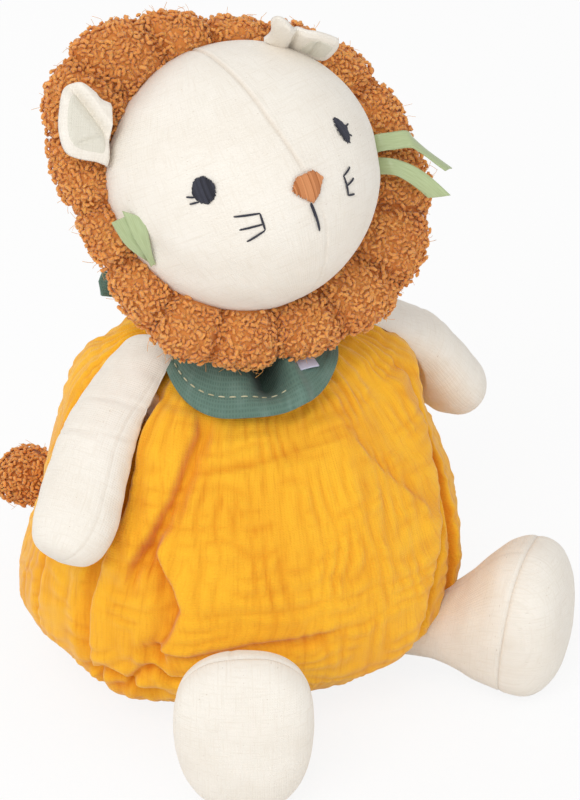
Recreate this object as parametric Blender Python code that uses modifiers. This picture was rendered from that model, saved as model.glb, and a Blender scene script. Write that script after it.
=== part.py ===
"""Seated plush lion: a stuffed linen doll in a gauze romper, with a neckerchief and a boucle mane.

Metres, +Z up. The lion sits on the plane z = 0 with its seat centre at the origin, faces -Y
and has its left side at +X. Every soft form is a sphere, ring or grid whose points are placed
by a formula, so each one follows the named sizes below.
"""
import math

import bmesh
import bpy
from mathutils import Euler, Matrix, Vector

# Cloths and the room that sewn pieces leave each other
GAP = 0.0003
SWING_GAP = 0.0006
LINEN = 0.0010
GAUZE = 0.0012
CANVAS = 0.0012
SATIN = 0.0005
STUFFING_GAP = 0.0013
EMBROIDERY = 0.0007

# Romper: a balloon of gauze from a flat seat to a gathered neckline
ROMPER_WIDTH = 0.162
ROMPER_DEPTH = 0.156
ROMPER_HEIGHT = 0.129
ROMPER_EASE = 0.007
ROMPER_FOLD = 0.0028
ROMPER_FOLDS = 11
ROMPER_SEGMENTS = 4 * ROMPER_FOLDS
ROMPER_RINGS = 13
ROMPER_PROFILE_SHARES = (
    (0.00, 0.00), (0.20, 0.00), (0.40, 0.00), (0.63, 0.035), (0.825, 0.10), (0.95, 0.19),
    (0.99, 0.30), (0.97, 0.43), (0.90, 0.57), (0.80, 0.71), (0.68, 0.84), (0.52, 0.95),
    (0.31, 1.00),
)

# Deep folds of the romper: angle at the seat and at the neckline, height of the raised edge
# and the side of it that stands out
ROMPER_PLEATS = (
    (-167.0, -150.0, 0.0030, 1), (-88.0, -37.0, 0.0036, -1), (150.0, 126.0, 0.0034, 1),
    (50.0, 61.5, 0.0034, -1), (-16.5, -13.5, 0.0024, 1),
)
PLEAT_EDGE = 0.006
PLEAT_REACH = 0.014

# Stuffing of the body and the bag of pellets that weighs down the seat
PELLET_BAG_WIDTH = 0.096
PELLET_BAG_HEIGHT = 0.026

# Neck: a stuffed tube with a ball top that the head nods on
NECK_PLACE = (-0.001, -0.005)
NECK_TOP = 0.141
NECK_BALL = 0.018
NECK_COLUMN = 0.0165

# Head, in its own frame: +X the lion's left, -Y the face, +Z the crown
HEAD_WIDTH = 0.093
HEAD_DEPTH = 0.097
HEAD_HEIGHT = 0.091
HEAD_PLACE = (-0.0102, -0.017, 0.1926)
HEAD_TURN_DEG = -14.5
HEAD_PITCH_DEG = -25.0
HEAD_TILT_DEG = -14.5

# Mane: a padded boucle ring gathered round the back of the face
MANE_RADIUS = 0.0645
MANE_SWELL_SHARES = ((0.045, -91.0), (0.092, -99.0), (0.046, -1.0), (0.040, 153.0))
MANE_THICKNESS = 0.019
MANE_BACK = 0.0035
MANE_TUCKS = 16
MANE_SEGMENTS = 3 * MANE_TUCKS
MANE_TUCK = 0.0018
MANE_BITE = 0.005

# Ears: two layers of linen that stand in front of the mane
EAR_WIDTH = 0.027
EAR_LENGTHS = {"right": 0.0235, "left": 0.0200}
EAR_THICKNESS = 0.0045
EAR_AZIMUTH_DEG = {"right": -48.0, "left": 41.0}
EAR_LEAN_DEG = {"right": -63.0, "left": 38.0}
EAR_FOLD_DEG = {"right": 4.0, "left": 50.0}
EAR_FORWARD = {"right": 0.0105, "left": 0.0190}
EAR_LINING = 0.0016
EAR_HEM = 0.0022

# Face, in degrees round the head from the nose line and up from its equator
EYE_AZIMUTH_DEG = 33.0
EYE_ELEVATION_DEG = 4.0
EYE_WIDTH = 0.0076
EYE_HEIGHT = 0.0090
NOSE_AZIMUTH_DEG = 2.5
NOSE_ELEVATION_DEG = -11.5
NOSE_WIDTH = 0.0105
NOSE_HEIGHT = 0.0096
NOSE_PAD = 0.0014
MOUTH_TOP_DEG = -18.5
MOUTH_BASE_DEG = -32.0
STITCH_WIDTH = 0.0011
WHISKER_OUTER_DEG = ((28.0, -10.4), (28.6, -16.4), (28.4, -22.6))
WHISKER_INNER_DEG = ((20.5, -13.5), (21.2, -17.9), (21.2, -21.6))

# Ribbons: two satin tabs at each side of the face
RIBBON_WIDTH = 0.0063
RIBBON_LENGTHS = {"right": 0.017, "left": 0.029}
RIBBON_CURL_SHARE = 0.16
RIBBON_ROOTS_DEG = {
    "right": {"upper": (-79.0, -12.0), "lower": (-78.0, -20.0)},
    "left": {"upper": (76.0, -12.0), "lower": (76.0, -21.0)},
}
RIBBON_WAY_SHARES = {
    "right": {"upper": (-0.62, -0.30, 0.72), "lower": (-0.40, -0.40, 0.82)},
    "left": {"upper": (0.80, -0.15, -0.58), "lower": (0.66, -0.20, -0.72)},
}

# Arms: stuffed tubes that hang from a ball-shaped root at each shoulder and lie on the body
SHOULDERS = {"right": (-0.0515, -0.0085, 0.1170), "left": (0.0515, -0.0085, 0.1170)}
PAWS = {"right": (-0.0845, -0.0235, 0.0865), "left": (0.0905, -0.0090, 0.0825)}
SHOULDER_BALL = 0.0105
SHOULDER_LEAN_DEG = 42.0
BODY_DOME = 0.062
BODY_DOME_LIFT = 0.0038
ARM_WIDTH = 0.031
ARM_THICKNESS = 0.026
ARM_RISE = 0.0050
PAW_END = 0.0155
ARM_PROFILE_SHARES = (
    (0.00, 0.00), (0.53, 0.60), (0.64, 0.74), (0.66, 0.74), (0.78, 0.84), (0.90, 0.93),
    (0.98, 1.00), (1.00, 0.98), (0.74, 0.72), (0.00, 0.00),
)
ARM_ALONG_SHARES = (0.00, 0.06, 0.17, 0.30, 0.44, 0.58, 0.72, 0.86, 0.965, 1.00)
ARM_RISE_SHARES = (0.00, 0.00, 0.10, 0.75, 1.00, 0.75, 0.35, 0.00, 0.00, 0.00)

# Legs: short stuffed tubes that end in a large foot with a sewn sole
HIPS = {"right": (-0.0390, -0.0570, 0.0200), "left": (0.0390, -0.0570, 0.0200)}
LEG_SPLAY_DEG = {"right": -34.5, "left": 34.5}
HIP_BALL = 0.0145
HIP_OPENING_DEG = 20.0
HIP_OPENING_DEPTH = 0.026
LEG_LENGTH = 0.050
FOOT_WIDTH = 0.047
FOOT_HEIGHT = 0.060
FOOT_RISE = 0.0100
SOLE_CROWN = 0.0035
LEG_PROFILE_SHARES = (
    (0.00, 0.00), (0.42, 0.33), (0.61, 0.475), (0.60, 0.46), (0.64, 0.51), (0.74, 0.67),
    (0.90, 0.87), (0.99, 0.98), (1.00, 1.00), (0.95, 0.95),
)
LEG_ALONG_SHARES = (-0.31, -0.21, 0.00, 0.21, 0.40, 0.56, 0.70, 0.83, 0.94, 1.00)
LEG_RISE_SHARES = (0.00, 0.00, 0.00, 0.02, 0.16, 0.45, 0.74, 0.92, 1.00, 1.00)

# Tail: a thin linen tube with a boucle tuft, laid round the lion's right
TAIL_ROOT = (-0.004, 0.0828, 0.040)
TAIL_THICKNESS = 0.009
TUFT_PLACE = (-0.042, 0.0965, 0.041)
TUFT_LENGTH = 0.032
TUFT_BITE = 0.006
TUFT_WIDTH = 0.023

# Neckerchief: a folded kerchief round the neck with its ends tied behind
KERCHIEF_FALL_SHARE = 0.143
KERCHIEF_BACK_SHARE = 0.26
KERCHIEF_POINT_POWER = 4
KERCHIEF_FRONT_DEG = -110.0
KERCHIEF_WAVE = 0.0018
KERCHIEF_LIFT = 0.0016
KERCHIEF_COLLAR = 0.003
KNOT_DEG = 128.0
KNOT_WIDTH = 0.013
KNOT_HEIGHT = 0.010
KNOT_DEPTH = 0.009
KNOT_ROOM = 0.0024
KERCHIEF_END_LENGTH = 0.026
KERCHIEF_END_WIDTH = 0.013
KNOT_SHARE = 0.45
KERCHIEF_END_WAYS = {"right": (-0.92, -0.05, 0.39), "left": (0.40, 0.80, -0.26)}
TAB_DEG = -92.0
TAB_LENGTH = 0.0094
TAB_WIDTH = 0.0046
TAB_THICKNESS = 0.0006

# Fineness of the forms
FINE = 24
MEDIUM = 16
SMALL = 12

SIDES = {"right": -1, "left": 1}


def clear_scene():
    """Remove what the scene holds."""
    for item in list(bpy.data.objects):
        bpy.data.objects.remove(item, do_unlink=True)


def collection(name):
    """New collection linked to the scene."""
    made = bpy.data.collections.new(name)
    bpy.context.scene.collection.children.link(made)
    return made


def material(name, colour, roughness):
    """Principled cloth of one colour."""
    made = bpy.data.materials.new(name)
    made.use_nodes = True
    shader = made.node_tree.nodes["Principled BSDF"]
    shader.inputs["Base Color"].default_value = (*colour, 1.0)
    shader.inputs["Roughness"].default_value = roughness
    shader.inputs["Metallic"].default_value = 0.0
    made.diffuse_color = (*colour, 1.0)
    return made


def on_curve(stations, share):
    """Smooth value through evenly spaced stations, at a share of the way along them."""
    last = len(stations) - 1
    place = min(max(share, 0.0), 1.0) * last
    first = min(int(place), last - 1)
    step = place - first
    picked = [Vector(stations[min(max(first + k, 0), last)]) for k in (-1, 0, 1, 2)]
    before, start, end, after = picked
    bend = 2 * before - 5 * start + 4 * end - after
    twist = 3 * start - before - 3 * end + after
    return start + (end - before) * (step / 2) + bend * (step ** 2 / 2) + twist * (step ** 3 / 2)


def as_stations(*columns):
    """Columns of numbers as one tuple of stations."""
    return tuple(zip(*columns))


def frame(origin, along, up):
    """Placement with local Z along a line and local Y as near to up as it can be."""
    along = Vector(along).normalized()
    side = Vector(up).cross(along).normalized()
    up = along.cross(side)
    turn = Matrix((side, up, along)).transposed().to_4x4()
    return Matrix.Translation(origin) @ turn


class Builder:
    """Makes the nodes, their seats and their cutters in the scene."""

    def __init__(self):
        self.parts = collection("plush_lion")
        self.cutters = collection("cutters")
        self.cutters.hide_render = True
        self.carrier = None

    def carry_on(self, name, place):
        """Empty on a joint's axis, which carries the pieces added after it."""
        self.carrier = bpy.data.objects.new(name, None)
        self.carrier.matrix_world = Matrix.Translation(place)
        self.parts.objects.link(self.carrier)

    def add(self, name, mesh, placement, cloth):
        """Object of the lion from a finished bmesh."""
        data = bpy.data.meshes.new(name)
        mesh.to_mesh(data)
        mesh.free()
        data.shade_smooth()
        data.materials.append(cloth)
        made = bpy.data.objects.new(name, data)
        made.parent = self.carrier
        made.matrix_world = placement
        self.parts.objects.link(made)
        return made

    def add_cutter(self, name, mesh, placement):
        """Guide solid that only cuts its neighbours."""
        data = bpy.data.meshes.new(name)
        mesh.to_mesh(data)
        mesh.free()
        made = bpy.data.objects.new(name, data)
        made.matrix_world = placement
        made.display_type = "WIRE"
        made.hide_render = True
        self.cutters.objects.link(made)
        return made


def shaped_sphere(segments, rings, place, open_base=False, open_top=False):
    """Sphere moved point by point to place(share from base to top, angle round it).

    An open base leaves a turning gap at the first ring; an open top ends in the last station.
    """
    mesh = bmesh.new()
    bmesh.ops.create_uvsphere(mesh, u_segments=segments, v_segments=rings, radius=1.0)
    last = rings - 1 if open_top else rings
    removed = []
    for vert in mesh.verts:
        ring = round(rings * math.acos(min(max(-vert.co.z, -1.0), 1.0)) / math.pi)
        angle = math.atan2(vert.co.y, vert.co.x)
        share = min(ring / last, 1.0)
        if ring in (0, rings):
            vert.co = (place(share, 0.0) + place(share, math.pi)) / 2
            if open_top if ring else open_base:
                removed.append(vert)
        else:
            vert.co = place(share, angle)
    bmesh.ops.delete(mesh, geom=removed, context="VERTS")
    bmesh.ops.recalc_face_normals(mesh, faces=mesh.faces)
    return mesh


def shaped_ring(around, sides, place):
    """Torus moved point by point to place(angle round the ring, angle round its section)."""
    bpy.ops.mesh.primitive_torus_add(
        major_segments=around, minor_segments=sides, major_radius=1.0, minor_radius=0.5
    )
    guide = bpy.context.object
    mesh = bmesh.new()
    mesh.from_mesh(guide.data)
    bpy.data.objects.remove(guide, do_unlink=True)
    for vert in mesh.verts:
        out = math.hypot(vert.co.x, vert.co.y) - 1.0
        vert.co = place(math.atan2(vert.co.y, vert.co.x), math.atan2(vert.co.z, out))
    bmesh.ops.recalc_face_normals(mesh, faces=mesh.faces)
    return mesh


def shaped_sheet(columns, rows, place, closed=False):
    """Grid moved point by point to place(share across, share along)."""
    mesh = bmesh.new()
    bmesh.ops.create_grid(mesh, x_segments=columns, y_segments=rows, size=0.5)
    for vert in mesh.verts:
        vert.co = place(vert.co.x + 0.5, vert.co.y + 0.5)
    if closed:
        bmesh.ops.remove_doubles(mesh, verts=mesh.verts, dist=0.00001)
    return mesh


def shrunk(mesh, inset):
    """The form drawn in along its normals, as stuffing sits inside its cover."""
    mesh.normal_update()
    moved = [(vert, vert.co - vert.normal * inset) for vert in mesh.verts]
    for vert, place in moved:
        vert.co = place
    return mesh


def thicken(part, thickness, outward=False):
    """Cloth of a real thickness on an open surface."""
    shell = part.modifiers.new("cloth", "SOLIDIFY")
    shell.thickness = thickness
    shell.offset = 1.0 if outward else -1.0
    shell.use_even_offset = True


def cut(part, *cutters):
    """Take the cutters' room out of a part."""
    for cutter in cutters:
        seat = part.modifiers.new(cutter.name, "BOOLEAN")
        seat.operation = "DIFFERENCE"
        seat.solver = "EXACT"
        seat.object = cutter


def join(part, guide):
    """Fuse a guide's form into a part."""
    fused = part.modifiers.new(guide.name, "BOOLEAN")
    fused.operation = "UNION"
    fused.solver = "EXACT"
    fused.object = guide


def ball(radius, segments=24):
    """Round cutter or guide."""
    mesh = bmesh.new()
    bmesh.ops.create_uvsphere(mesh, u_segments=segments, v_segments=segments // 2, radius=radius)
    return mesh


def pleat_lift(height_share, angle):
    """How far the deep folds stand out: each rises at an edge and dies away beside it."""
    lift = 0.0
    for low, high, depth, way in ROMPER_PLEATS:
        line = math.radians(low + (high - low) * height_share)
        off = ((angle - line + math.pi) % math.tau - math.pi) * way * ROMPER_WIDTH / 2
        raised = math.exp(-off / PLEAT_REACH) if off > 0 else max(0.0, 1 + off / PLEAT_EDGE)
        lift = max(lift, depth * raised)
    return lift


def romper_point(share, angle, fold=ROMPER_FOLD, ease=0.0):
    """Point of the romper's outer face, from seat centre (0) to neckline (1)."""
    radius_share, height_share = on_curve(ROMPER_PROFILE_SHARES, share)
    drape = math.sin(math.pi * share)
    lift = fold * (1 + math.cos(ROMPER_FOLDS * angle + math.pi * share)) / 2
    if fold:
        lift += pleat_lift(height_share, angle) * max(0.0, drape) ** 0.5
    swell = lift * min(1.0, height_share / ROMPER_PROFILE_SHARES[4][1])
    tight = max(0.0, drape) * ease
    width = max(0.0, radius_share * ROMPER_WIDTH / 2 + swell - tight)
    depth = max(0.0, radius_share * ROMPER_DEPTH / 2 + swell - tight)
    height = max(0.0, height_share) * ROMPER_HEIGHT
    return Vector((width * math.cos(angle), depth * math.sin(angle), height))


def romper_normal(share, angle):
    """Outward direction of the smooth romper at a point."""
    step = 0.01
    rise = romper_point(share + step, angle, 0.0) - romper_point(share - step, angle, 0.0)
    turn = romper_point(share, angle + step, 0.0) - romper_point(share, angle - step, 0.0)
    return turn.cross(rise).normalized()


def head_point(azimuth, elevation, lift=0.0):
    """Point of the head in its own frame, lifted off the linen by a distance."""
    point = Vector((
        math.sin(azimuth) * math.cos(elevation) * HEAD_WIDTH / 2,
        -math.cos(azimuth) * math.cos(elevation) * HEAD_DEPTH / 2,
        math.sin(elevation) * HEAD_HEIGHT / 2,
    ))
    out = Vector((
        point.x / HEAD_WIDTH ** 2, point.y / HEAD_DEPTH ** 2, point.z / HEAD_HEIGHT ** 2
    )).normalized()
    return point + out * lift


def head_frame():
    """Placement of the head: turned, looking up and tilted to its right."""
    turn = Euler((0.0, 0.0, math.radians(HEAD_TURN_DEG))).to_matrix()
    pitch = Euler((math.radians(HEAD_PITCH_DEG), 0.0, 0.0)).to_matrix()
    tilt = Euler((0.0, math.radians(HEAD_TILT_DEG), 0.0)).to_matrix()
    return Matrix.Translation(HEAD_PLACE) @ (turn @ pitch @ tilt).to_4x4()


def head_form(segments, rings, open_base=False):
    """Closed or open form of the head."""
    def place(share, angle):
        return head_point(angle + math.pi / 2, (share - 0.5) * math.pi)
    return shaped_sphere(segments, rings, place, open_base=open_base)


def build_neck(make, cloths):
    """Stuffed neck between body and head, and the seats that it turns in."""
    foot = ROMPER_HEIGHT - GAUZE - LINEN
    rise = NECK_TOP - foot
    stations = as_stations(
        (0.0, NECK_COLUMN, NECK_COLUMN, NECK_BALL, NECK_BALL * 0.87, NECK_BALL * 0.5, 0.0),
        (0.0, 0.0, rise / 2, rise, rise + NECK_BALL * 0.5, rise + NECK_BALL * 0.866,
         rise + NECK_BALL),
    )

    def place(share, angle):
        radius, height = on_curve(stations, share)
        radius = max(0.0, radius)
        return Vector((radius * math.cos(angle), radius * math.sin(angle), max(0.0, height)))

    placement = Matrix.Translation((*NECK_PLACE, foot + GAP))
    make.add("neck", shaped_sphere(18, 10, place), placement, cloths["linen"])
    pivot = Matrix.Translation((*NECK_PLACE, NECK_TOP))
    return make.add_cutter("neck_seat", ball(NECK_BALL + SWING_GAP, 32), pivot)


def build_head(make, cloths, neck_seat):
    """Linen head cover over its stuffing, with a seat for the neck."""
    placement = head_frame()
    cover = make.add("head_cover", head_form(FINE, 13), placement, cloths["linen"])
    thicken(cover, LINEN)
    stuffing = shrunk(head_form(MEDIUM, 10), LINEN + STUFFING_GAP)
    filling = make.add("head_filling", stuffing, placement, cloths["stuffing"])
    cut(cover, neck_seat)
    cut(filling, neck_seat)
    return make.add_cutter("head_seat", shrunk(head_form(FINE, 13), -GAP), placement)


def build_mane(make, cloths, head_seat):
    """Padded ring of boucle, gathered by tucks round its rim."""
    def place(angle, section):
        outer = MANE_RADIUS + MANE_TUCK * math.cos(MANE_TUCKS * angle)
        for waves, (swell_share, turn) in enumerate(MANE_SWELL_SHARES, start=1):
            outer += MANE_RADIUS * swell_share * math.cos(waves * angle - math.radians(turn))
        inner = min(HEAD_WIDTH, HEAD_HEIGHT) / 2 - MANE_BITE
        across = (outer - inner) / 2
        radius = inner + across + across * math.cos(section)
        return Vector((
            radius * math.cos(angle),
            MANE_BACK + math.sin(section) * MANE_THICKNESS / 2,
            radius * math.sin(angle),
        ))

    mane = make.add("mane", shaped_ring(MANE_SEGMENTS, 6, place), head_frame(), cloths["boucle"])
    cut(mane, head_seat)


def ear_frame(side):
    """Placement of an ear: local Z out from the head, local Y to the back, origin on its fold."""
    azimuth, lean = math.radians(EAR_AZIMUTH_DEG[side]), math.radians(EAR_LEAN_DEG[side])
    fold = math.radians(EAR_FOLD_DEG[side])
    forward = EAR_FORWARD[side]
    girth = math.sqrt(1 - (forward / (HEAD_DEPTH / 2)) ** 2)
    root = Vector((
        math.sin(azimuth) * HEAD_WIDTH / 2 * girth, -forward,
        math.cos(azimuth) * HEAD_HEIGHT / 2 * girth,
    ))
    root += Vector((math.sin(azimuth), 0.0, math.cos(azimuth))) * (EAR_THICKNESS / 2 + 2 * GAP)
    out = Vector((
        math.sin(lean) * math.cos(fold), -math.sin(fold), math.cos(lean) * math.cos(fold)
    ))
    return head_frame() @ frame(root, out, Vector((0.0, 1.0, 0.0)))


def ear_form(width, length, front, back, root):
    """Flat rounded flap; front and back are its half thicknesses, root where it starts."""
    def place(share, angle):
        # The flap's outline is a circle drawn out into a length; its poles are its two faces
        reach = math.sin(math.pi * share)
        across = math.cos(angle) * reach * width / 2
        along = root + (1 + math.sin(angle) * reach) * length / 2
        depth = -math.cos(math.pi * share)
        return Vector((across, depth * (back if depth > 0 else front), along))
    return shaped_sphere(16, 8, place)


def build_ears(make, cloths):
    """Linen ears with a lining laid in front."""
    for side in SIDES:
        placement = ear_frame(side)
        length = EAR_LENGTHS[side]
        root = -EAR_THICKNESS / 2
        outer = ear_form(EAR_WIDTH, length, GAP, EAR_THICKNESS / 2, root)
        make.add(f"ear_{side}", outer, placement, cloths["linen"])
        lining = ear_form(
            EAR_WIDTH - 2 * EAR_HEM, length - 2 * EAR_HEM, EAR_LINING, GAP, root + EAR_HEM
        )
        bmesh.ops.translate(lining, verts=lining.verts, vec=(0.0, -3 * GAP, 0.0))
        make.add(f"ear_lining_{side}", lining, placement, cloths["lining"])


def pad_form(azimuth, elevation, half_width, half_height, thickness, outline=None, lean=0.0):
    """Embroidered pad that follows the head; outline(angle) scales its edge."""
    def place(share, angle):
        reach = math.sin(math.pi * share) * (outline(angle) if outline else 1.0)
        across = math.cos(angle) * reach * half_width
        up = math.sin(angle) * reach * half_height
        turned = across * math.cos(lean) - up * math.sin(lean)
        raised = across * math.sin(lean) + up * math.cos(lean)
        crown = max(0.0, -math.cos(math.pi * share))
        lift = GAP + (thickness * (0.45 + 0.55 * crown) if share >= 0.5 else 0.0)
        return head_point(
            azimuth + turned / (HEAD_WIDTH / 2 * math.cos(elevation)),
            elevation + raised / (HEAD_HEIGHT / 2), lift,
        )
    return place


def blunt_end(angle):
    """Outline that keeps an embroidered stroke wide up to its ends."""
    return 1 / (abs(math.cos(angle)) ** 4 + abs(math.sin(angle)) ** 4) ** 0.25


def stitch_form(start, end):
    """Straight embroidered stroke between two places on the head, in radians."""
    middle = [(a + b) / 2 for a, b in zip(start, end)]
    run = (end[0] - start[0]) * math.cos(middle[1]) * HEAD_WIDTH / 2
    rise = (end[1] - start[1]) * HEAD_HEIGHT / 2
    return pad_form(
        middle[0], middle[1], math.hypot(run, rise) / 2 + STITCH_WIDTH / 2, STITCH_WIDTH / 2,
        EMBROIDERY, blunt_end, math.atan2(rise, run),
    )


def build_whiskers(make, cloths, side):
    """Three strokes of one whisker set, joined at their inner ends by a fourth."""
    def on_face(place):
        return SIDES[side] * math.radians(place[0]), math.radians(place[1])

    first, last = WHISKER_INNER_DEG[0], WHISKER_INNER_DEG[-1]
    spine = shaped_sphere(6, 4, stitch_form(on_face(first), on_face(last)))
    whiskers = make.add(f"whiskers_{side}", spine, head_frame(), cloths["thread"])
    for outer, inner in zip(WHISKER_OUTER_DEG, WHISKER_INNER_DEG):
        stroke = shaped_sphere(6, 4, stitch_form(on_face(inner), on_face(outer)))
        number = WHISKER_OUTER_DEG.index(outer) + 1
        guide = make.add_cutter(f"whisker_{side}_{number}", stroke, head_frame())
        join(whiskers, guide)


def build_face(make, cloths):
    """Embroidered eyes, nose, mouth and whiskers."""
    placement = head_frame()
    for side, sign in SIDES.items():
        eye = pad_form(
            sign * math.radians(EYE_AZIMUTH_DEG), math.radians(EYE_ELEVATION_DEG),
            EYE_WIDTH / 2, EYE_HEIGHT / 2, EMBROIDERY,
        )
        make.add(f"eye_{side}", shaped_sphere(16, 6, eye), placement, cloths["thread"])
        build_whiskers(make, cloths, side)

    def rounded_triangle(angle):
        return 1.0 - 0.16 * math.cos(3 * (angle + math.pi / 2) + math.pi)

    middle = math.radians(NOSE_AZIMUTH_DEG)
    nose = pad_form(
        middle, math.radians(NOSE_ELEVATION_DEG), NOSE_WIDTH / 2, NOSE_HEIGHT / 2, NOSE_PAD,
        rounded_triangle,
    )
    make.add("nose", shaped_sphere(18, 6, nose), placement, cloths["nose"])
    mouth = stitch_form(
        (middle, math.radians(MOUTH_BASE_DEG)), (middle, math.radians(MOUTH_TOP_DEG))
    )
    make.add("mouth", shaped_sphere(8, 6, mouth), placement, cloths["thread"])


def build_ribbons(make, cloths, head_seat):
    """Satin tabs that stand out from the face in front of the mane."""
    for side, roots in RIBBON_ROOTS_DEG.items():
        facing = Vector((SIDES[side] * 0.4, -0.8, 0.4))
        length = RIBBON_LENGTHS[side]

        def place(across, along, length=length):
            curl = math.sin(math.pi * along) * length * RIBBON_CURL_SHARE
            return Vector(((across - 0.5) * RIBBON_WIDTH, curl, along * length))

        for level, (azimuth, elevation) in roots.items():
            root = head_point(math.radians(azimuth), math.radians(elevation), -2 * SATIN)
            way = Vector(RIBBON_WAY_SHARES[side][level])
            placement = head_frame() @ frame(root, way, facing)
            sheet = shaped_sheet(2, 8, place)
            ribbon = make.add(f"ribbon_{side}_{level}", sheet, placement, cloths["satin"])
            thicken(ribbon, SATIN)
            cut(ribbon, head_seat)


def limb_form(segments, rings, stations, sizes, inset=0.0, open_top=False, settle=None):
    """Stuffed limb along local Z; stations hold shares of the width, height, length and rise."""
    width, height, length, rise = sizes

    def place(share, angle):
        wide, high, along, raised = on_curve(stations, share)
        point = Vector((
            max(0.0, wide) * width / 2 * math.cos(angle),
            max(0.0, high) * height / 2 * math.sin(angle) + raised * rise,
            along * length,
        ))
        return settle(point) if settle else point
    form = shaped_sphere(segments, rings, place, open_base=not inset, open_top=open_top)
    return shrunk(form, inset) if inset else form


def arm_frame(side):
    """Placement of an arm: local Z from shoulder to paw, local Y away from the body."""
    shoulder, paw = Vector(SHOULDERS[side]), Vector(PAWS[side])
    lean = math.radians(SHOULDER_LEAN_DEG)
    away = Vector((SIDES[side] * math.cos(lean), 0.0, math.sin(lean)))
    return frame(shoulder, paw - shoulder, away)


def off_body(point):
    """Point of an arm, lifted off the dome that the body makes round the shoulder."""
    if point.length <= SHOULDER_BALL:
        return point
    reach = math.hypot(point.x, point.z)
    drop = BODY_DOME - math.sqrt(max(0.0, BODY_DOME ** 2 - reach ** 2))
    return Vector((point.x, max(point.y, BODY_DOME_LIFT - drop), point.z))


def build_arms(make, cloths):
    """Arm covers and stuffings; gives the seats that the shoulders turn in."""
    seats = []
    for side in SIDES:
        placement = arm_frame(side)
        reach = (Vector(PAWS[side]) - Vector(SHOULDERS[side])).length
        length = SHOULDER_BALL + reach + PAW_END
        start = SHOULDER_BALL / length
        stations = tuple(
            (wide, high, along - start, rise) for (wide, high), along, rise
            in zip(ARM_PROFILE_SHARES, ARM_ALONG_SHARES, ARM_RISE_SHARES)
        )
        sizes = (ARM_WIDTH, ARM_THICKNESS, length, ARM_RISE)
        cover = limb_form(16, 12, stations, sizes, settle=off_body)
        thicken(make.add(f"arm_{side}", cover, placement, cloths["linen"]), LINEN)
        inset = LINEN + STUFFING_GAP
        filling = limb_form(16, 12, stations, sizes, inset, settle=off_body)
        make.add(f"arm_filling_{side}", filling, placement, cloths["stuffing"])
        seats.append(make.add_cutter(
            f"shoulder_seat_{side}", ball(SHOULDER_BALL + 2 * SWING_GAP), placement
        ))
    return seats


def leg_frame(side):
    """Placement of a leg: local Z along the leg, local Y up, origin in the hip."""
    splay = math.radians(LEG_SPLAY_DEG[side])
    along = Vector((math.sin(splay), -math.cos(splay), 0.0))
    return frame(HIPS[side], along, Vector((0.0, 0.0, 1.0)))


def build_legs(make, cloths):
    """Leg covers, soles and stuffings; gives the seats that the hips turn in."""
    stations = tuple(
        (wide, high, along, rise) for (wide, high), along, rise
        in zip(LEG_PROFILE_SHARES, LEG_ALONG_SHARES, LEG_RISE_SHARES)
    )
    sizes = (FOOT_WIDTH, FOOT_HEIGHT, LEG_LENGTH, FOOT_RISE)

    def sole_point(share, angle):
        reach = math.sin(math.pi * share) if share > 0.5 else min(1.0, 3 * share)
        crown = max(0.0, -math.cos(math.pi * share)) * SOLE_CROWN
        edge = stations[-1][0]
        return Vector((
            reach * edge * FOOT_WIDTH / 2 * math.cos(angle),
            reach * edge * FOOT_HEIGHT / 2 * math.sin(angle) + FOOT_RISE,
            LEG_LENGTH + GAP + (LINEN + crown if share >= 0.5 else 0.0),
        ))

    def opening_point(share, angle):
        # A ball round the hip that opens upward and downward ahead of it, for the thigh's swing
        room = HIP_BALL + SWING_GAP
        turn = min(2 * share, 1.0) * math.pi / 2
        ahead = max(0.0, 2 * share - 1) * HIP_OPENING_DEPTH
        reach = room * math.sin(turn) * (0.0 if share > 0.999 else 1.0)
        flare = ahead * math.tan(math.radians(HIP_OPENING_DEG)) if reach else 0.0
        return Vector((
            reach * math.cos(angle), (reach + flare) * math.sin(angle),
            ahead - room * math.cos(turn),
        ))

    seats = []
    for side in SIDES:
        placement = leg_frame(side)
        cover = limb_form(18, 10, stations, sizes, open_top=True)
        thicken(make.add(f"leg_{side}", cover, placement, cloths["linen"]), LINEN)
        filling = limb_form(18, 10, stations, sizes, LINEN + STUFFING_GAP)
        make.add(f"leg_filling_{side}", filling, placement, cloths["stuffing"])
        sole = shaped_sphere(18, 6, sole_point)
        make.add(f"sole_{side}", sole, placement, cloths["linen"])
        opening = shaped_sphere(24, 16, opening_point)
        seats.append(make.add_cutter(f"hip_seat_{side}", opening, placement))
    return seats


def build_tail(make, cloths):
    """Tail tube with a ball-shaped root, and its tuft; gives the seat of the root."""
    root, tuft = Vector(TAIL_ROOT), Vector(TUFT_PLACE)
    along = tuft - root
    placement = frame(root, along, Vector((0.0, 0.0, 1.0)))
    stem_length = along.length - TUFT_LENGTH / 2

    thick = TAIL_THICKNESS / 2

    def stem(share, angle):
        beyond = (1 - math.cos(math.pi * share)) / 2 * (stem_length + thick)
        inside = max(0.0, 1 - beyond / thick, 1 - (stem_length + thick - beyond) / thick)
        radius = thick * math.sqrt(1 - min(inside, 1.0) ** 2)
        return Vector((radius * math.cos(angle), radius * math.sin(angle), beyond - thick))

    def tuft_point(share, angle):
        swell = math.sin(math.pi * share) ** 0.8 * (1 - 0.25 * (share - 0.5))
        radius = TUFT_WIDTH / 2 * swell
        return Vector((
            radius * math.cos(angle), radius * math.sin(angle),
            stem_length - TUFT_BITE + TUFT_LENGTH * share,
        ))

    make.add("tail", shaped_sphere(SMALL, 10, stem), placement, cloths["linen"])
    tip = make.add("tail_tuft", shaped_sphere(14, 9, tuft_point), placement, cloths["boucle"])
    room = shrunk(shaped_sphere(SMALL, 10, stem), -GAP)
    cut(tip, make.add_cutter("tail_room", room, placement))
    return make.add_cutter("tail_seat", ball(thick + SWING_GAP, 16), placement)


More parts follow.
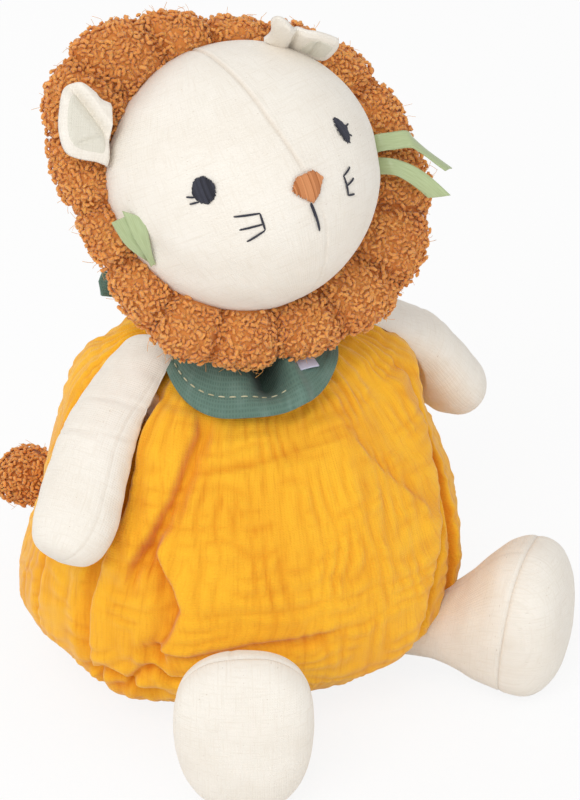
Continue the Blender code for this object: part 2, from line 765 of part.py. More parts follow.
def build_body(make, cloths, seats):
    """Body cover, its stuffing and the pellet bag under the stuffing."""
    def body_point(share, angle):
        return romper_point(share, angle, 0.0, ROMPER_EASE)

    cover_inset = GAUZE + GAP
    cover = shrunk(shaped_sphere(22, 11, body_point, open_top=True), cover_inset)
    body = make.add("body_cover", cover, Matrix.Identity(4), cloths["linen"])
    thicken(body, LINEN)
    filling = shrunk(
        shaped_sphere(22, 11, body_point), cover_inset + LINEN + STUFFING_GAP
    )
    stuffing = make.add("body_filling", filling, Matrix.Identity(4), cloths["stuffing"])

    def bag_point(share, angle):
        radius = PELLET_BAG_WIDTH / 2 * math.sin(math.pi * share) ** 0.7
        return Vector((
            radius * math.cos(angle), radius * math.sin(angle), PELLET_BAG_HEIGHT * share
        ))

    floor = cover_inset + LINEN + STUFFING_GAP
    bag = shaped_sphere(MEDIUM, 8, bag_point)
    make.add("pellet_bag", bag, Matrix.Translation((0.0, 0.0, floor)), cloths["linen"])
    cut(body, *seats)
    bag_room = shrunk(shaped_sphere(MEDIUM, 8, bag_point), -GAP)
    room = make.add_cutter("bag_room", bag_room, Matrix.Translation((0.0, 0.0, floor)))
    cut(stuffing, room, *seats)


def build_romper(make, cloths, seats):
    """Gauze balloon with its neckline, armholes and leg openings."""
    form = shaped_sphere(ROMPER_SEGMENTS, ROMPER_RINGS, romper_point, open_top=True)
    romper = make.add("romper", form, Matrix.Identity(4), cloths["gauze"])
    thicken(romper, GAUZE)
    cut(romper, *seats)


def kerchief_point(across, angle, lift=KERCHIEF_LIFT):
    """Point of the neckerchief's inner face, from its collar (0) to its hem (1)."""
    facing = (1 + math.cos(angle - math.radians(KERCHIEF_FRONT_DEG))) / 2
    facing = facing ** KERCHIEF_POINT_POWER
    fall = KERCHIEF_FALL_SHARE * (KERCHIEF_BACK_SHARE + (1 - KERCHIEF_BACK_SHARE) * facing)
    share = 1 - fall * across
    out = romper_normal(min(share, 0.985), angle)
    wave = KERCHIEF_WAVE * across * (1 + math.cos(ROMPER_FOLDS * angle)) / 2
    point = romper_point(share, angle) + out * (lift + wave)
    collar = (1 - across) ** 3 * KERCHIEF_COLLAR
    inward = Vector((-math.cos(angle), -math.sin(angle), 0.0)) * collar * 0.2
    return point + inward + Vector((0.0, 0.0, collar))


def build_kerchief(make, cloths, seats):
    """Neckerchief, its knot and two ends behind, and a small blank tab in its hem."""
    def place(along, across):
        return kerchief_point(across, along * math.tau)

    sheet = shaped_sheet(ROMPER_SEGMENTS, 4, place, closed=True)
    scarf = make.add("neckerchief", sheet, Matrix.Identity(4), cloths["canvas"])
    thicken(scarf, CANVAS, True)
    cut(scarf, *seats)

    angle = math.radians(KNOT_DEG)
    outer = kerchief_point(0.0, angle, KERCHIEF_LIFT + CANVAS + 2 * GAP)
    away = Vector((math.cos(angle), math.sin(angle), 0.0))
    middle = outer + away * (KNOT_DEPTH / 2 + KNOT_ROOM)

    def knot_point(share, turn):
        reach = math.sin(math.pi * share)
        return Vector((
            reach * math.cos(turn) * KNOT_WIDTH / 2, reach * math.sin(turn) * KNOT_HEIGHT / 2,
            -math.cos(math.pi * share) * KNOT_DEPTH / 2,
        ))

    up = Vector((0.0, 0.0, 1.0))
    knot = shaped_sphere(SMALL, 8, knot_point)
    make.add("kerchief_knot", knot, frame(middle, away, up), cloths["canvas"])
    room = shrunk(shaped_sphere(SMALL, 8, knot_point), -GAP)
    knot_room = make.add_cutter("knot_room", room, frame(middle, away, up))

    def end_point(across, along):
        width = KERCHIEF_END_WIDTH * (KNOT_SHARE + (1 - KNOT_SHARE) * along)
        fold = abs(across - 0.5) * KERCHIEF_END_WIDTH * 0.4
        return Vector(((across - 0.5) * width, fold, along * KERCHIEF_END_LENGTH))

    for side, way in KERCHIEF_END_WAYS.items():
        way = Vector(way).normalized()
        root = middle + way * KNOT_HEIGHT / 4
        sheet = shaped_sheet(4, 5, end_point)
        placement = frame(root, way, away)
        end = make.add(f"kerchief_end_{side}", sheet, placement, cloths["canvas"])
        thicken(end, CANVAS)
        cut(end, knot_room)

    angle = math.radians(TAB_DEG)
    out = romper_normal(1 - KERCHIEF_FALL_SHARE / 2, angle)
    place = kerchief_point(0.5, angle, KERCHIEF_LIFT + TAB_THICKNESS)
    tab = bmesh.new()
    bmesh.ops.create_cube(tab, size=1.0)
    bmesh.ops.scale(tab, verts=tab.verts, vec=(TAB_LENGTH, TAB_WIDTH, TAB_THICKNESS))
    make.add("hem_tab", tab, frame(place, out, up), cloths["tab"])


CLOTH_COLOURS = {
    "linen": ((0.83, 0.77, 0.68), 0.9),
    "lining": ((0.80, 0.78, 0.66), 0.85),
    "boucle": ((0.52, 0.20, 0.06), 0.95),
    "gauze": ((0.87, 0.40, 0.02), 0.9),
    "canvas": ((0.10, 0.18, 0.15), 0.9),
    "satin": ((0.36, 0.52, 0.28), 0.4),
    "thread": ((0.03, 0.03, 0.05), 0.6),
    "nose": ((0.50, 0.21, 0.10), 0.6),
    "stuffing": ((0.90, 0.90, 0.88), 1.0),
    "tab": ((0.60, 0.60, 0.68), 0.5),
}


def main():
    """Build every piece in the order in which each one cuts the next."""
    clear_scene()
    cloths = {name: material(name, *look) for name, look in CLOTH_COLOURS.items()}
    make = Builder()
    neck_seat = build_neck(make, cloths)
    make.carry_on("head_pivot", (*NECK_PLACE, NECK_TOP))
    head_seat = build_head(make, cloths, neck_seat)
    build_mane(make, cloths, head_seat)
    build_ears(make, cloths)
    build_face(make, cloths)
    build_ribbons(make, cloths, head_seat)
    make.carrier = None
    shoulder_seats = build_arms(make, cloths)
    hip_seats = build_legs(make, cloths)
    tail_seat = build_tail(make, cloths)
    seats = [*shoulder_seats, *hip_seats, tail_seat]
    build_body(make, cloths, seats)
    build_romper(make, cloths, seats)
    build_kerchief(make, cloths, shoulder_seats)


main()
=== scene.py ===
"""Looks of the seated plush lion: its cloths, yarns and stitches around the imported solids.

Metres, +Z up. The lion faces -Y and its left side is at +X. Each soft solid is replaced by a
detailed piece that is made from the same sizes, in the same place and on the same body.
"""

import logging
import math
from dataclasses import dataclass
from enum import Enum

import bpy
import numpy as np
from mathutils import Euler, Matrix, Vector, kdtree, noise

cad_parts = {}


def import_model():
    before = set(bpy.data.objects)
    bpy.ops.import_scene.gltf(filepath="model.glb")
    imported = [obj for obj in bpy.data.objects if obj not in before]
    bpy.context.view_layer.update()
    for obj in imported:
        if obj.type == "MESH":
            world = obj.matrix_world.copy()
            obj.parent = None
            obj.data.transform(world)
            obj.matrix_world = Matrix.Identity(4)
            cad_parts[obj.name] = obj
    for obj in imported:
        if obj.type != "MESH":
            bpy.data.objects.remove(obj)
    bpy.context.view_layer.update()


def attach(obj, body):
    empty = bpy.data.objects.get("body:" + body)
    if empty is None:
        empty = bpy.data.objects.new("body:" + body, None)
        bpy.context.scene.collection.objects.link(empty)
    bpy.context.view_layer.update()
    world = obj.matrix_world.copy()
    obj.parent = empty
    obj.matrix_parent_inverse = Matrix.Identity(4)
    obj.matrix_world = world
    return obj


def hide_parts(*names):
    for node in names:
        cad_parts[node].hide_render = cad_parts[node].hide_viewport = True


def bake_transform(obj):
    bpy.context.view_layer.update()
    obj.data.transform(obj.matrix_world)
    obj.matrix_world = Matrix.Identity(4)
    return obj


Array = np.ndarray
Piece = bpy.types.Object
Socket = bpy.types.NodeSocket
Tree = bpy.types.NodeTree

log = logging.getLogger("plush_lion")

MM = 0.001
FRAME_LONG_SIDE = 800
WEAVE = "weave_mm"
# Mesh layer of painted shade: how deep each point lies in a groove, which the finishes paint
# darker
PAINTED_SHADE = "hollow"
TONE = "tone"
SIDES = {"right": -1, "left": 1}
UP = Vector((0.0, 0.0, 1.0))


class FoldShape(Enum):
    """How the cloth goes over a fold line."""

    CREASE = "crease"
    EDGE = "edge"


# Shader helpers


def linear(colour: str) -> tuple[float, float, float, float]:
    """Turn an sRGB hex colour, six digits after a hash sign, into a linear one."""
    shares = [int(colour[k:k + 2], 16) / 255 for k in (1, 3, 5)]
    toned = [s / 12.92 if s <= 0.04045 else ((s + 0.055) / 1.055) ** 2.4 for s in shares]
    return (*toned, 1.0)


def add_node(
    tree: Tree, kind: str, inputs: dict | None = None, out: int | str = 0, **settings: object,
) -> Socket:
    """Add one shader node with its settings and links.

    Args:
        tree: the material's or world's node tree.
        kind: node type without its ShaderNode prefix.
        inputs: values or sockets for the node's inputs, by name or number.
        out: the output wanted, by name or number.
        settings: the node's own properties.

    Returns:
        The wanted output, or the node's first input where it has no output.
    """
    node = tree.nodes.new("ShaderNode" + kind)
    for name, value in settings.items():
        setattr(node, name, value)
    for name, value in (inputs or {}).items():
        if isinstance(value, Socket):
            tree.links.new(value, node.inputs[name])
        else:
            node.inputs[name].default_value = value
    return node.outputs[out] if node.outputs else node.inputs[0]


def mix(tree: Tree, share: Socket, one: object, other: object) -> Socket:
    """Blend of two colours by a share."""
    return add_node(tree, "Mix", {0: share, 6: one, 7: other}, 2, data_type="RGBA")


def join(tree: Tree, how: str, one: object, other: object, clamp: bool = False) -> Socket:
    """Two values joined by a sum, a product or the like."""
    return add_node(tree, "Math", {0: one, 1: other}, operation=how, use_clamp=clamp)


def band(tree: Tree, value: Socket, low: float, high: float, start: float = 0.0,
         end: float = 1.0) -> Socket:
    """Part of a value's range, stretched to another range."""
    ends = {"From Min": low, "From Max": high, "To Min": start, "To Max": end}
    return add_node(tree, "MapRange", {"Value": value, **ends})


def layer(tree: Tree, name: str, out: str = "Fac") -> Socket:
    """Value that the mesh carries at each of its points."""
    return add_node(tree, "Attribute", out=out, attribute_name=name)


def streaks(tree: Tree, across: float, along: float, detail: float = 2.0) -> Socket:
    """Noise on the cloth with its own scale across and along it, per millimetre."""
    inputs = {"Vector": layer(tree, WEAVE, "Vector"), "Scale": (across, along, 1.0)}
    place = add_node(tree, "Mapping", inputs)
    return add_node(tree, "TexNoise", {"Vector": place, "Scale": 1.0, "Detail": detail}, "Fac")


def fibres(tree: Tree, scale: float) -> Socket:
    """Fine noise of single fibres, with its scale per metre."""
    place = add_node(tree, "TexCoord", out="Object")
    return add_node(tree, "TexNoise", {"Vector": place, "Scale": scale, "Detail": 2.0})


def threads(tree: Tree, pitch_mm: float, wander: float) -> Socket:
    """Height of a plain weave: threads across and along, each a pitch apart."""
    # A wave of scale 1 repeats every 0.314 units
    inputs = {"Vector": layer(tree, WEAVE, "Vector"), "Scale": 2 * math.pi / 20 / pitch_mm,
              "Distortion": wander, "Detail": 1.0, "Detail Scale": 1.5}
    rows = [add_node(tree, "TexWave", inputs, "Fac", wave_type="BANDS", bands_direction=way)
            for way in ("X", "Y")]
    return join(tree, "MAXIMUM", *rows)


def lit_through(weight: float, radius: tuple) -> dict:
    """Shader inputs of a cloth that light goes a little way into."""
    return {"Subsurface Weight": weight, "Subsurface Radius": radius, "Subsurface Scale": 1.0}


@dataclass(frozen=True)
class Finish:
    """One cloth or yarn: its name, slot, colours and what its surface does with light."""

    name: str
    slot: str
    light: str
    deep: str
    roughness: float = 0.9
    sheen: float = 0.2
    specular: float = 0.3

    def base(self) -> tuple[bpy.types.Material, Tree]:
        """Empty material."""
        made = bpy.data.materials.new(self.name)
        made.use_nodes = True
        made.node_tree.nodes.clear()
        made.diffuse_color = linear(self.light)
        return made, made.node_tree

    def tone(self, tree: Tree, share: Socket) -> Socket:
        """Blend of the finish's light and deep colour."""
        return mix(tree, share, linear(self.light), linear(self.deep))

    def paint(self, tree: Tree) -> tuple[Socket, Socket, float, dict]:
        """Colour, fine relief, that relief's depth in mm, and further shader inputs."""
        raise NotImplementedError

    def material(self) -> bpy.types.Material:
        """Build the material from what the finish paints."""
        made, tree = self.base()
        colour, height, relief_mm, further = self.paint(tree)
        bump = {"Height": height, "Strength": 0.6, "Distance": relief_mm * MM}
        shader = add_node(tree, "BsdfPrincipled", {
            "Base Color": colour, "Roughness": self.roughness, "Sheen Weight": self.sheen,
            "Sheen Roughness": 0.45, "Specular IOR Level": self.specular,
            "Normal": add_node(tree, "Bump", bump), **further,
        })
        add_node(tree, "OutputMaterial", {"Surface": shader})
        return made


@dataclass(frozen=True)
class Linen(Finish):
    """Washed half-linen, plain woven from uneven undyed yarn.

    It is matt, and thick places in the yarn and bits of flax give fine streaks and flecks.
    """

    fleck: str = "#A98F74"
    fleck_share: float = 0.55
    # Colour of the painted shade in the seam grooves
    seam: str = "#BFA78C"
    # Thread spacing is 0.55 mm; it is drawn at 0.8 mm so that it shows
    pitch_mm: float = 0.8

    def paint(self, tree: Tree) -> tuple[Socket, Socket, float, dict]:
        """Slubs both ways, clouds, flecks and painted shade in the seams."""
        slubs = join(tree, "MAXIMUM", streaks(tree, 0.12, 1.4), streaks(tree, 1.4, 0.12))
        tone = self.tone(tree, band(tree, slubs, 0.50, 0.74, 0.0, 0.40))
        clouds = band(tree, streaks(tree, 0.06, 0.06), 0.35, 0.75, 0.0, 0.35)
        tone = mix(tree, clouds, tone, linear(self.deep))
        flecks = band(tree, streaks(tree, 0.9, 2.2, 3.0), 0.68, 0.75, 0.0, self.fleck_share)
        tone = mix(tree, flecks, tone, linear(self.fleck))
        # Painted shade: the seam grooves are darkened towards the seam colour
        seams = band(tree, layer(tree, PAINTED_SHADE), 0.0, 1.0, 0.0, 0.75)
        tone = mix(tree, seams, tone, linear(self.seam))
        return tone, threads(tree, self.pitch_mm, 1.5), 0.12, {}


@dataclass(frozen=True)
class Gauze(Finish):
    """Double gauze: two thin cotton layers tied together and crinkled by washing.

    It is soft and matt; painted shade makes it deeper in the lines between its puffs.
    """

    # Thread spacing is about 0.6 mm; it is drawn at 0.9 mm so that it shows
    pitch_mm: float = 0.9

    def paint(self, tree: Tree) -> tuple[Socket, Socket, float, dict]:
        """Painted shade in its grooves, with deeper patches and fine lines."""
        # Painted shade: the crinkle and fold grooves are darkened
        painted_shades = band(tree, layer(tree, PAINTED_SHADE), 0.0, 1.0, 0.0, 0.85)
        patches = band(tree, streaks(tree, 0.05, 0.03), 0.40, 0.75, 0.0, 0.30)
        lines = band(tree, streaks(tree, 1.1, 0.10), 0.50, 0.75, 0.0, 0.28)
        share = join(tree, "ADD", join(tree, "ADD", painted_shades, patches), lines, clamp=True)
        return (self.tone(tree, share), threads(tree, self.pitch_mm, 2.5), 0.16,
                lit_through(0.08, (0.004, 0.0018, 0.0006)))


@dataclass(frozen=True)
class Boucle(Finish):
    """Boucle yarn: a curled wool and acrylic yarn that stands up in small loops.

    Its loops catch light on top, and painted shade darkens them where they meet the backing.
    """

    other: str = "#DE8F48"

    def paint(self, tree: Tree) -> tuple[Socket, Socket, float, dict]:
        """Two tones of yarn, with painted shade at the backing."""
        yarn = mix(tree, layer(tree, TONE), linear(self.light), linear(self.other))
        # Painted shade towards the backing and in the tucks
        share = band(tree, layer(tree, PAINTED_SHADE), 0.20, 1.0)
        return (mix(tree, share, yarn, linear(self.deep)), fibres(tree, 2200.0), 0.2,
                lit_through(0.25, (0.0014, 0.0006, 0.0002)))


@dataclass(frozen=True)
class Canvas(Finish):
    """Washed cotton canvas, close plain weave, dyed in the piece.

    It is matt, and its worn thread tops are paler than the gaps between them.
    """

    worn: str = "#86A096"
    # Thread spacing is 0.6 mm; it is drawn at 0.8 mm so that it shows
    pitch_mm: float = 0.8

    def paint(self, tree: Tree) -> tuple[Socket, Socket, float, dict]:
        """Thread gaps, worn patches and painted shade in hollow places."""
        weave = threads(tree, self.pitch_mm, 0.8)
        tone = self.tone(tree, band(tree, weave, 0.2, 0.9, 0.26, 0.0))
        pale = band(tree, streaks(tree, 0.25, 0.25, 4.0), 0.50, 0.75, 0.0, 0.35)
        tone = mix(tree, pale, tone, linear(self.worn))
        # Painted shade in the kerchief's hollow
        painted_hollow_shade = band(tree, layer(tree, PAINTED_SHADE), 0.0, 1.0, 0.0, 0.95)
        return mix(tree, painted_hollow_shade, tone, linear(self.deep)), weave, 0.2, {}


@dataclass(frozen=True)
class Satin(Finish):
    """Polyester satin ribbon with woven edges.

    Its long floats give a soft sheen across the ribbon.
    """

    def paint(self, tree: Tree) -> tuple[Socket, Socket, float, dict]:
        """Long floats along the ribbon."""
        floats = streaks(tree, 4.0, 0.15)
        tone = self.tone(tree, band(tree, floats, 0.35, 0.7, 0.0, 0.35))
        return tone, floats, 0.05, {"Anisotropic": 0.5}


@dataclass(frozen=True)
class Thread(Finish):
    """Mercerised cotton embroidery thread.

    It has a faint silky gloss along each stitch.
    """

    def paint(self, tree: Tree) -> tuple[Socket, Socket, float, dict]:
        """Each stitch in a tone of its own."""
        return self.tone(tree, layer(tree, TONE)), fibres(tree, 1800.0), 0.12, {}


@dataclass(frozen=True)
class Paper(Finish):
    """Matt white studio paper, which shows only the object's soft shadow."""

    shown: float = 0.86

    def material(self) -> bpy.types.Material:
        """Build the paper's material: white to the camera, with the shadow kept."""
        made, tree = self.base()
        matt = add_node(tree, "BsdfDiffuse", {"Color": linear(self.light)})
        white = add_node(tree, "Emission", {"Color": (1.0, 1.0, 1.0, 1.0), "Strength": 1.0})
        path = tree.nodes.new("ShaderNodeLightPath").outputs
        seen = join(tree, "MAXIMUM", path["Is Camera Ray"], path["Is Glossy Ray"])
        seen = join(tree, "MAXIMUM", seen, path["Is Transmission Ray"])
        share = join(tree, "MULTIPLY", seen, self.shown)
        paper = add_node(tree, "MixShader", {0: share, 1: matt, 2: white})
        add_node(tree, "OutputMaterial", {"Surface": paper})
        return made


LINEN = Linen("washed_half_linen", "linen", "#F2ECE2", "#E3D9CA", 0.92, 0.15)
LINING = Linen("cotton_percale_lining", "ear_lining", "#E1DDD0", "#D2CDBD", 0.85, 0.1,
               fleck_share=0.1)
BOUCLE = Boucle("boucle_curled_yarn", "boucle", "#EEA75A", "#BC6A2A", 0.95, 0.30)
GAUZE = Gauze("crinkled_double_gauze", "gauze", "#FBBB2C", "#DA8110", 0.95, 0.25)
CANVAS = Canvas("washed_cotton_canvas", "canvas", "#637F73", "#2F4238", 0.92, 0.15)
SATIN = Satin("polyester_satin_ribbon", "satin", "#B4C294", "#87955F", 0.38, 0.1, 0.5)
DARK_THREAD = Thread("mercerised_thread_navy", "dark_thread", "#3C3D49", "#26262F", 0.6, 0.1)
NOSE_THREAD = Thread("mercerised_thread_rust", "nose_thread", "#E09A66", "#A6602E", 0.6, 0.1)
HEM_THREAD = Thread("cotton_hem_thread_ecru", "canvas", "#CFC9A8", "#B3AD8A", 0.8, 0.1)
TAB_RIBBON = Satin("woven_tab_ribbon", "tab", "#CBCBDD", "#B4B4C9", 0.6, 0.1)
PAPER = Paper("matt_studio_paper", "stage", "#F6F6F6", "#F6F6F6", 1.0, 0.0)


# Meshes of cloth


def noise_at(points: Array, size: float, seed: float = 0.0) -> Array:
    """Smooth noise at each point.

    Args:
        points: places, with x, y and z in the last axis.
        size: how long one swell of the noise is.
        seed: shift that gives another noise.

    Returns:
        Noise from about -1 to 1, in the shape of the points without the last axis.
    """
    scaled = (points.reshape(-1, 3) / size + seed).tolist()
    values = np.fromiter((noise.noise(place) for place in scaled), float, len(scaled))
    return values.reshape(points.shape[:-1])


@dataclass(frozen=True)
class Swell:
    """One smooth unevenness of a cloth: its size, its seed and how far it lifts the cloth."""

    size: float
    seed: float
    depth: float
    # How many times shorter it is upwards than around
    squeeze: float = 1.0

    def on(self, points: Array, shift: float = 0.0) -> Array:
        """Lift at each point, with the seed shifted where another noise is wanted."""
        squeezed = points * np.array([1.0, 1.0, self.squeeze])
        return noise_at(squeezed, self.size, self.seed + shift) * self.depth


def smooth(values: Array | float, low: float, high: float) -> Array:
    """Soft step from 0 at low to 1 at high."""
    share = np.clip((values - low) / (high - low), 0.0, 1.0)
    return share * share * (3 - 2 * share)


def bell(values: Array, width: float) -> Array:
    """Soft bump of height 1 and a half width."""
    return np.exp(-(values / width) ** 2)


def within_turn(degrees: Array) -> Array:
    """Angles brought to between -180 and 180 degrees."""
    return (degrees + 180) % 360 - 180


def on_curve(stations: tuple, shares: Array) -> Array:
    """Smooth values through evenly spaced stations.

    Args:
        stations: rows of values.
        shares: how far along the stations each value lies, from 0 to 1.

    Returns:
        One row of values for each share.
    """
    table = np.array(stations, float)
    last = len(table) - 1
    place = np.clip(shares, 0.0, 1.0) * last
    first = np.minimum(place.astype(int), last - 1)
    step = (place - first)[..., None]
    before, start, end, after = (table[np.clip(first + k, 0, last)] for k in (-1, 0, 1, 2))
    bend = 2 * before - 5 * start + 4 * end - after
    twist = 3 * start - before - 3 * end + after
    return start + (end - before) * step / 2 + bend * step ** 2 / 2 + twist * step ** 3 / 2


def grid(rows: int, columns: int, low: float = 0.0, high: float = 1.0) -> tuple[Array, Array]:
    """Shares along the rows, and angles round the columns, of a closed form."""
    share = np.linspace(low, high, rows)[:, None] + np.zeros((1, columns))
    angle = np.linspace(-math.pi, math.pi, columns, endpoint=False)[None, :] + 0 * share
    return share, angle


def strip(rows: int, columns: int, low: float = 0.0) -> tuple[Array, Array]:
    """Shares across (-0.5 to 0.5) and along (up to 0.5, or 1 where low is 0) a flat strip."""
    along = np.linspace(low, low + 1, rows)[:, None]
    return np.linspace(-0.5, 0.5, columns)[None, :] + 0 * along, along + np.zeros((1, columns))


def oval(wide: Array, high: Array, angle: Array, along: Array) -> Array:
    """Places round an oval section of a half width and half height."""
    return np.stack([wide * np.cos(angle), high * np.sin(angle), along + 0 * angle], -1)


def unit(vectors: Array) -> Array:
    """Vectors of length 1."""
    return vectors / np.maximum(np.linalg.norm(vectors, axis=-1, keepdims=True), 1e-12)


def normals_of(points: Array, around: bool = True) -> Array:
    """Unit normals of a grid of points, by its rows and columns."""
    if around:
        across = np.roll(points, -1, 1) - np.roll(points, 1, 1)
    else:
        across = np.gradient(points, axis=1)
    return unit(np.cross(across, np.gradient(points, axis=0)))


def outward(points: Array) -> Array:
    """Unit normals of a closed grid, turned away from its middle."""
    out = normals_of(points)
    return out if ((points - points.mean((0, 1))) * out).sum() > 0 else -out


def placed(points: Array, matrix: Matrix) -> Array:
    """Points moved by a placement."""
    table = np.array(matrix)
    return points @ table[:3, :3].T + table[:3, 3]


def placement(origin: object, along: object, up: object) -> Matrix:
    """Placement with local Z along a line and local Y as near to up as it can be."""
    along = Vector(along).normalized()
    side = Vector(up).cross(along).normalized()
    up = along.cross(side)
    turn = Matrix((side, up, along)).transposed().to_4x4()
    return Matrix.Translation(origin) @ turn


class Fabric:
    """Gathers the patches of one piece and turns them into one mesh."""

    def __init__(self, name: str) -> None:
        self.name = name
        self.count = 0
        self.points: list[Array] = []
        self.painted_shades: list[Array] = []
        self.tones: list[Array] = []
        self.quads: list[Array] = []
        self.quad_weaves: list[Array] = []
        self.fans: list[Array] = []
        self.fan_weaves: list[Array] = []

    def keep(self, points: Array, hollow: Array | float, tone: Array | float) -> Array:
        """Take in points and give their numbers."""
        flat = points.reshape(-1, 3)
        self.points.append(flat)
        for store, value in ((self.painted_shades, hollow), (self.tones, tone)):
            store.append(np.broadcast_to(value, points.shape[:-1]).reshape(-1).astype(float))
        numbers = np.arange(len(flat)) + self.count
        self.count += len(flat)
        return numbers.reshape(points.shape[:-1])

    def lay(
        self, points: Array, around: bool = True, along: bool = False, capped: bool = False,
        hollow: Array | float = 0.0, tone: Array | float = 0.0, flat: Array | None = None,
    ) -> None:
        """Lay one grid of points as cloth.

        Args:
            points: rows by columns of places.
            around: whether each row closes on itself.
            along: whether each column closes on itself.
            capped: whether the first and the last row are closed by fans.
            hollow: how deep each point lies in a groove, from 0 to 1, which the finish paints
                darker as shade.
            tone: a share that the finish may use for its colour.
            flat: places on the uncurved cloth, where they aren't the grid's own lengths.
        """
        numbers = self.keep(points, hollow, tone)
        across = np.linalg.norm(np.diff(points, axis=1), axis=-1).mean(0)
        down = np.linalg.norm(np.diff(points, axis=0), axis=-1).mean(1)
        places = [np.concatenate([[0.0], np.cumsum(steps)]) / MM for steps in (across, down)]
        if around:
            numbers = np.concatenate([numbers, numbers[:, :1]], axis=1)
            places[0] = np.append(places[0], places[0][-1] + across.mean() / MM)
        if along:
            numbers = np.concatenate([numbers, numbers[:1]], axis=0)
            places[1] = np.append(places[1], places[1][-1] + down.mean() / MM)
        weave = np.stack(np.meshgrid(places[0], places[1]), axis=-1)
        if flat is not None:
            weave = np.concatenate([flat, flat[:, :1]], axis=1) / MM
        weave = np.concatenate([weave, np.zeros((*weave.shape[:2], 1))], axis=-1)
        low, high = slice(None, -1), slice(1, None)
        corners = [(low, low), (low, high), (high, high), (high, low)]
        self.quads.append(np.stack([numbers[c] for c in corners], -1).reshape(-1, 4))
        self.quad_weaves.append(np.stack([weave[c] for c in corners], 2).reshape(-1, 3))
        if along and not around:
            self.bind_sides(numbers[:-1])
        for row in (0, -1) if capped else ():
            hub = self.keep(points[row].mean(0)[None, :], 0.0, 0.0)[0]
            rim, woven = numbers[row], weave[row]
            order = (high, low) if row == 0 else (low, high)
            middle = (woven[1:] + woven[:-1]) / 2
            self.fans.append(np.stack([np.full(len(rim) - 1, hub), *(rim[o] for o in order)], -1))
            self.fan_weaves.append(
                np.stack([middle, *(woven[o] for o in order)], 1).reshape(-1, 3))

    def bind_sides(self, numbers: Array) -> None:
        """Close the two side edges of a doubled sheet, by the numbers of its points."""
        layers = len(numbers) // 2 - 1
        for column, order in ((0, slice(None)), (-1, slice(None, None, -1))):
            line = numbers[:, column]
            front, back = line[:layers], line[layers + 1:-1][::-1]
            flank = np.stack([front[:-1], front[1:], back[1:], back[:-1]], -1)[:, order]
            self.quads.append(flank)
            self.quad_weaves.append(np.zeros((flank.size, 3)))
            ends = np.array([[front[-1], line[layers], back[-1]],
                             [back[0], line[-1], front[0]]])[:, order]
            self.fans.append(ends)
            self.fan_weaves.append(np.zeros((ends.size, 3)))

    def strew(self, shape: Array, quads: Array, spots: Array, turns: Array,
              hollow: Array, tones: Array) -> None:
        """Lay many copies of one small form.

        Args:
            shape: the form's points.
            quads: its faces.
            spots: where each copy goes.
            turns: a matrix for each copy, which turns and sizes it.
            hollow: the groove share of each copy's points, which the finish paints darker as
                shade.
            tones: the tone of each copy.
        """
        copies = np.einsum("kij,nj->kni", turns, shape) + spots[:, None, :]
        start = self.count
        self.keep(copies, hollow, np.broadcast_to(tones[:, None], copies.shape[:-1]))
        shifts = (np.arange(len(spots)) * len(shape) + start)[:, None, None]
        self.quads.append((quads[None] + shifts).reshape(-1, 4))
        self.quad_weaves.append(np.zeros((len(quads) * len(spots) * 4, 3)))

    def sew(self, finish: Finish) -> Piece:
        """Turn the patches into one object with the finish's material, in the row frame."""
        points = np.concatenate(self.points)
        quads = np.concatenate(self.quads)
        fans = np.concatenate(self.fans).tolist() if self.fans else []
        mesh = bpy.data.meshes.new(self.name)
        mesh.from_pydata(points.tolist(), [], quads.tolist() + fans)
        weave = mesh.attributes.new(WEAVE, "FLOAT_VECTOR", "CORNER")
        weave.data.foreach_set(
            "vector", np.concatenate(self.quad_weaves + self.fan_weaves).ravel())
        for name, values in ((PAINTED_SHADE, self.painted_shades), (TONE, self.tones)):
            kept = mesh.attributes.new(name, "FLOAT", "POINT")
            kept.data.foreach_set("value", np.concatenate(values))
        corners = points[quads[:, :3]]
        if (corners[:, 0] * np.cross(corners[:, 1], corners[:, 2])).sum() < 0:
            mesh.flip_normals()
        mesh.shade_smooth()
        made = bpy.data.objects.new(self.name, mesh)
        bpy.context.scene.collection.objects.link(made)
        made.data.materials.append(finish.material())
        return made


def doubled(points: Array, thickness: float, around: bool) -> Array:
    """Both faces of a sheet as one closed section, with its rows rounded at the two ends."""
    out = normals_of(points, around) * thickness / 2
    first = points[:1] + (points[:1] - points[1:2]) * 0.3
    last = points[-1:] + (points[-1:] - points[-2:-1]) * 0.3
    return np.concatenate([points + out, last, (points - out)[::-1], first])


def tube(path: Array, radii: Array, sides: int, flat: float = 1.0) -> Array:
    """Grid of points round a path.

    Args:
        path: places along the middle.
        radii: radius at each place.
        sides: points round it.
        flat: how thick the tube is out of its widest plane, as a share.

    Returns:
        Rows of points, one row for each place.
    """
    along = unit(np.gradient(path, axis=0))
    side = unit(np.cross(along, unit(path)))
    out = np.cross(side, along)
    turn = np.linspace(0, 2 * math.pi, sides, endpoint=False)[None, :, None]
    ring = np.cos(turn) * side[:, None] + np.sin(turn) * out[:, None] * flat
    return path[:, None] + ring * radii[:, None, None]


def dress(fabric: Fabric, body: str, finish: Finish, *nodes: str,
          fill: float | None = None) -> Piece:
    """Sew a piece, hide the solids that it stands for and seat it on its body.

    Args:
        fabric: the piece's patches.
        body: body that it moves with.
        finish: its finish.
        nodes: solids that it stands for.
        fill: how full it is stuffed; not used.

    Returns:
        The piece.
    """
    piece = fabric.sew(finish)
    if nodes:
        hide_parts(*nodes)
    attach(piece, body)
    log.info("%s: %d faces on %s", piece.name, len(piece.data.polygons), body)
    return piece


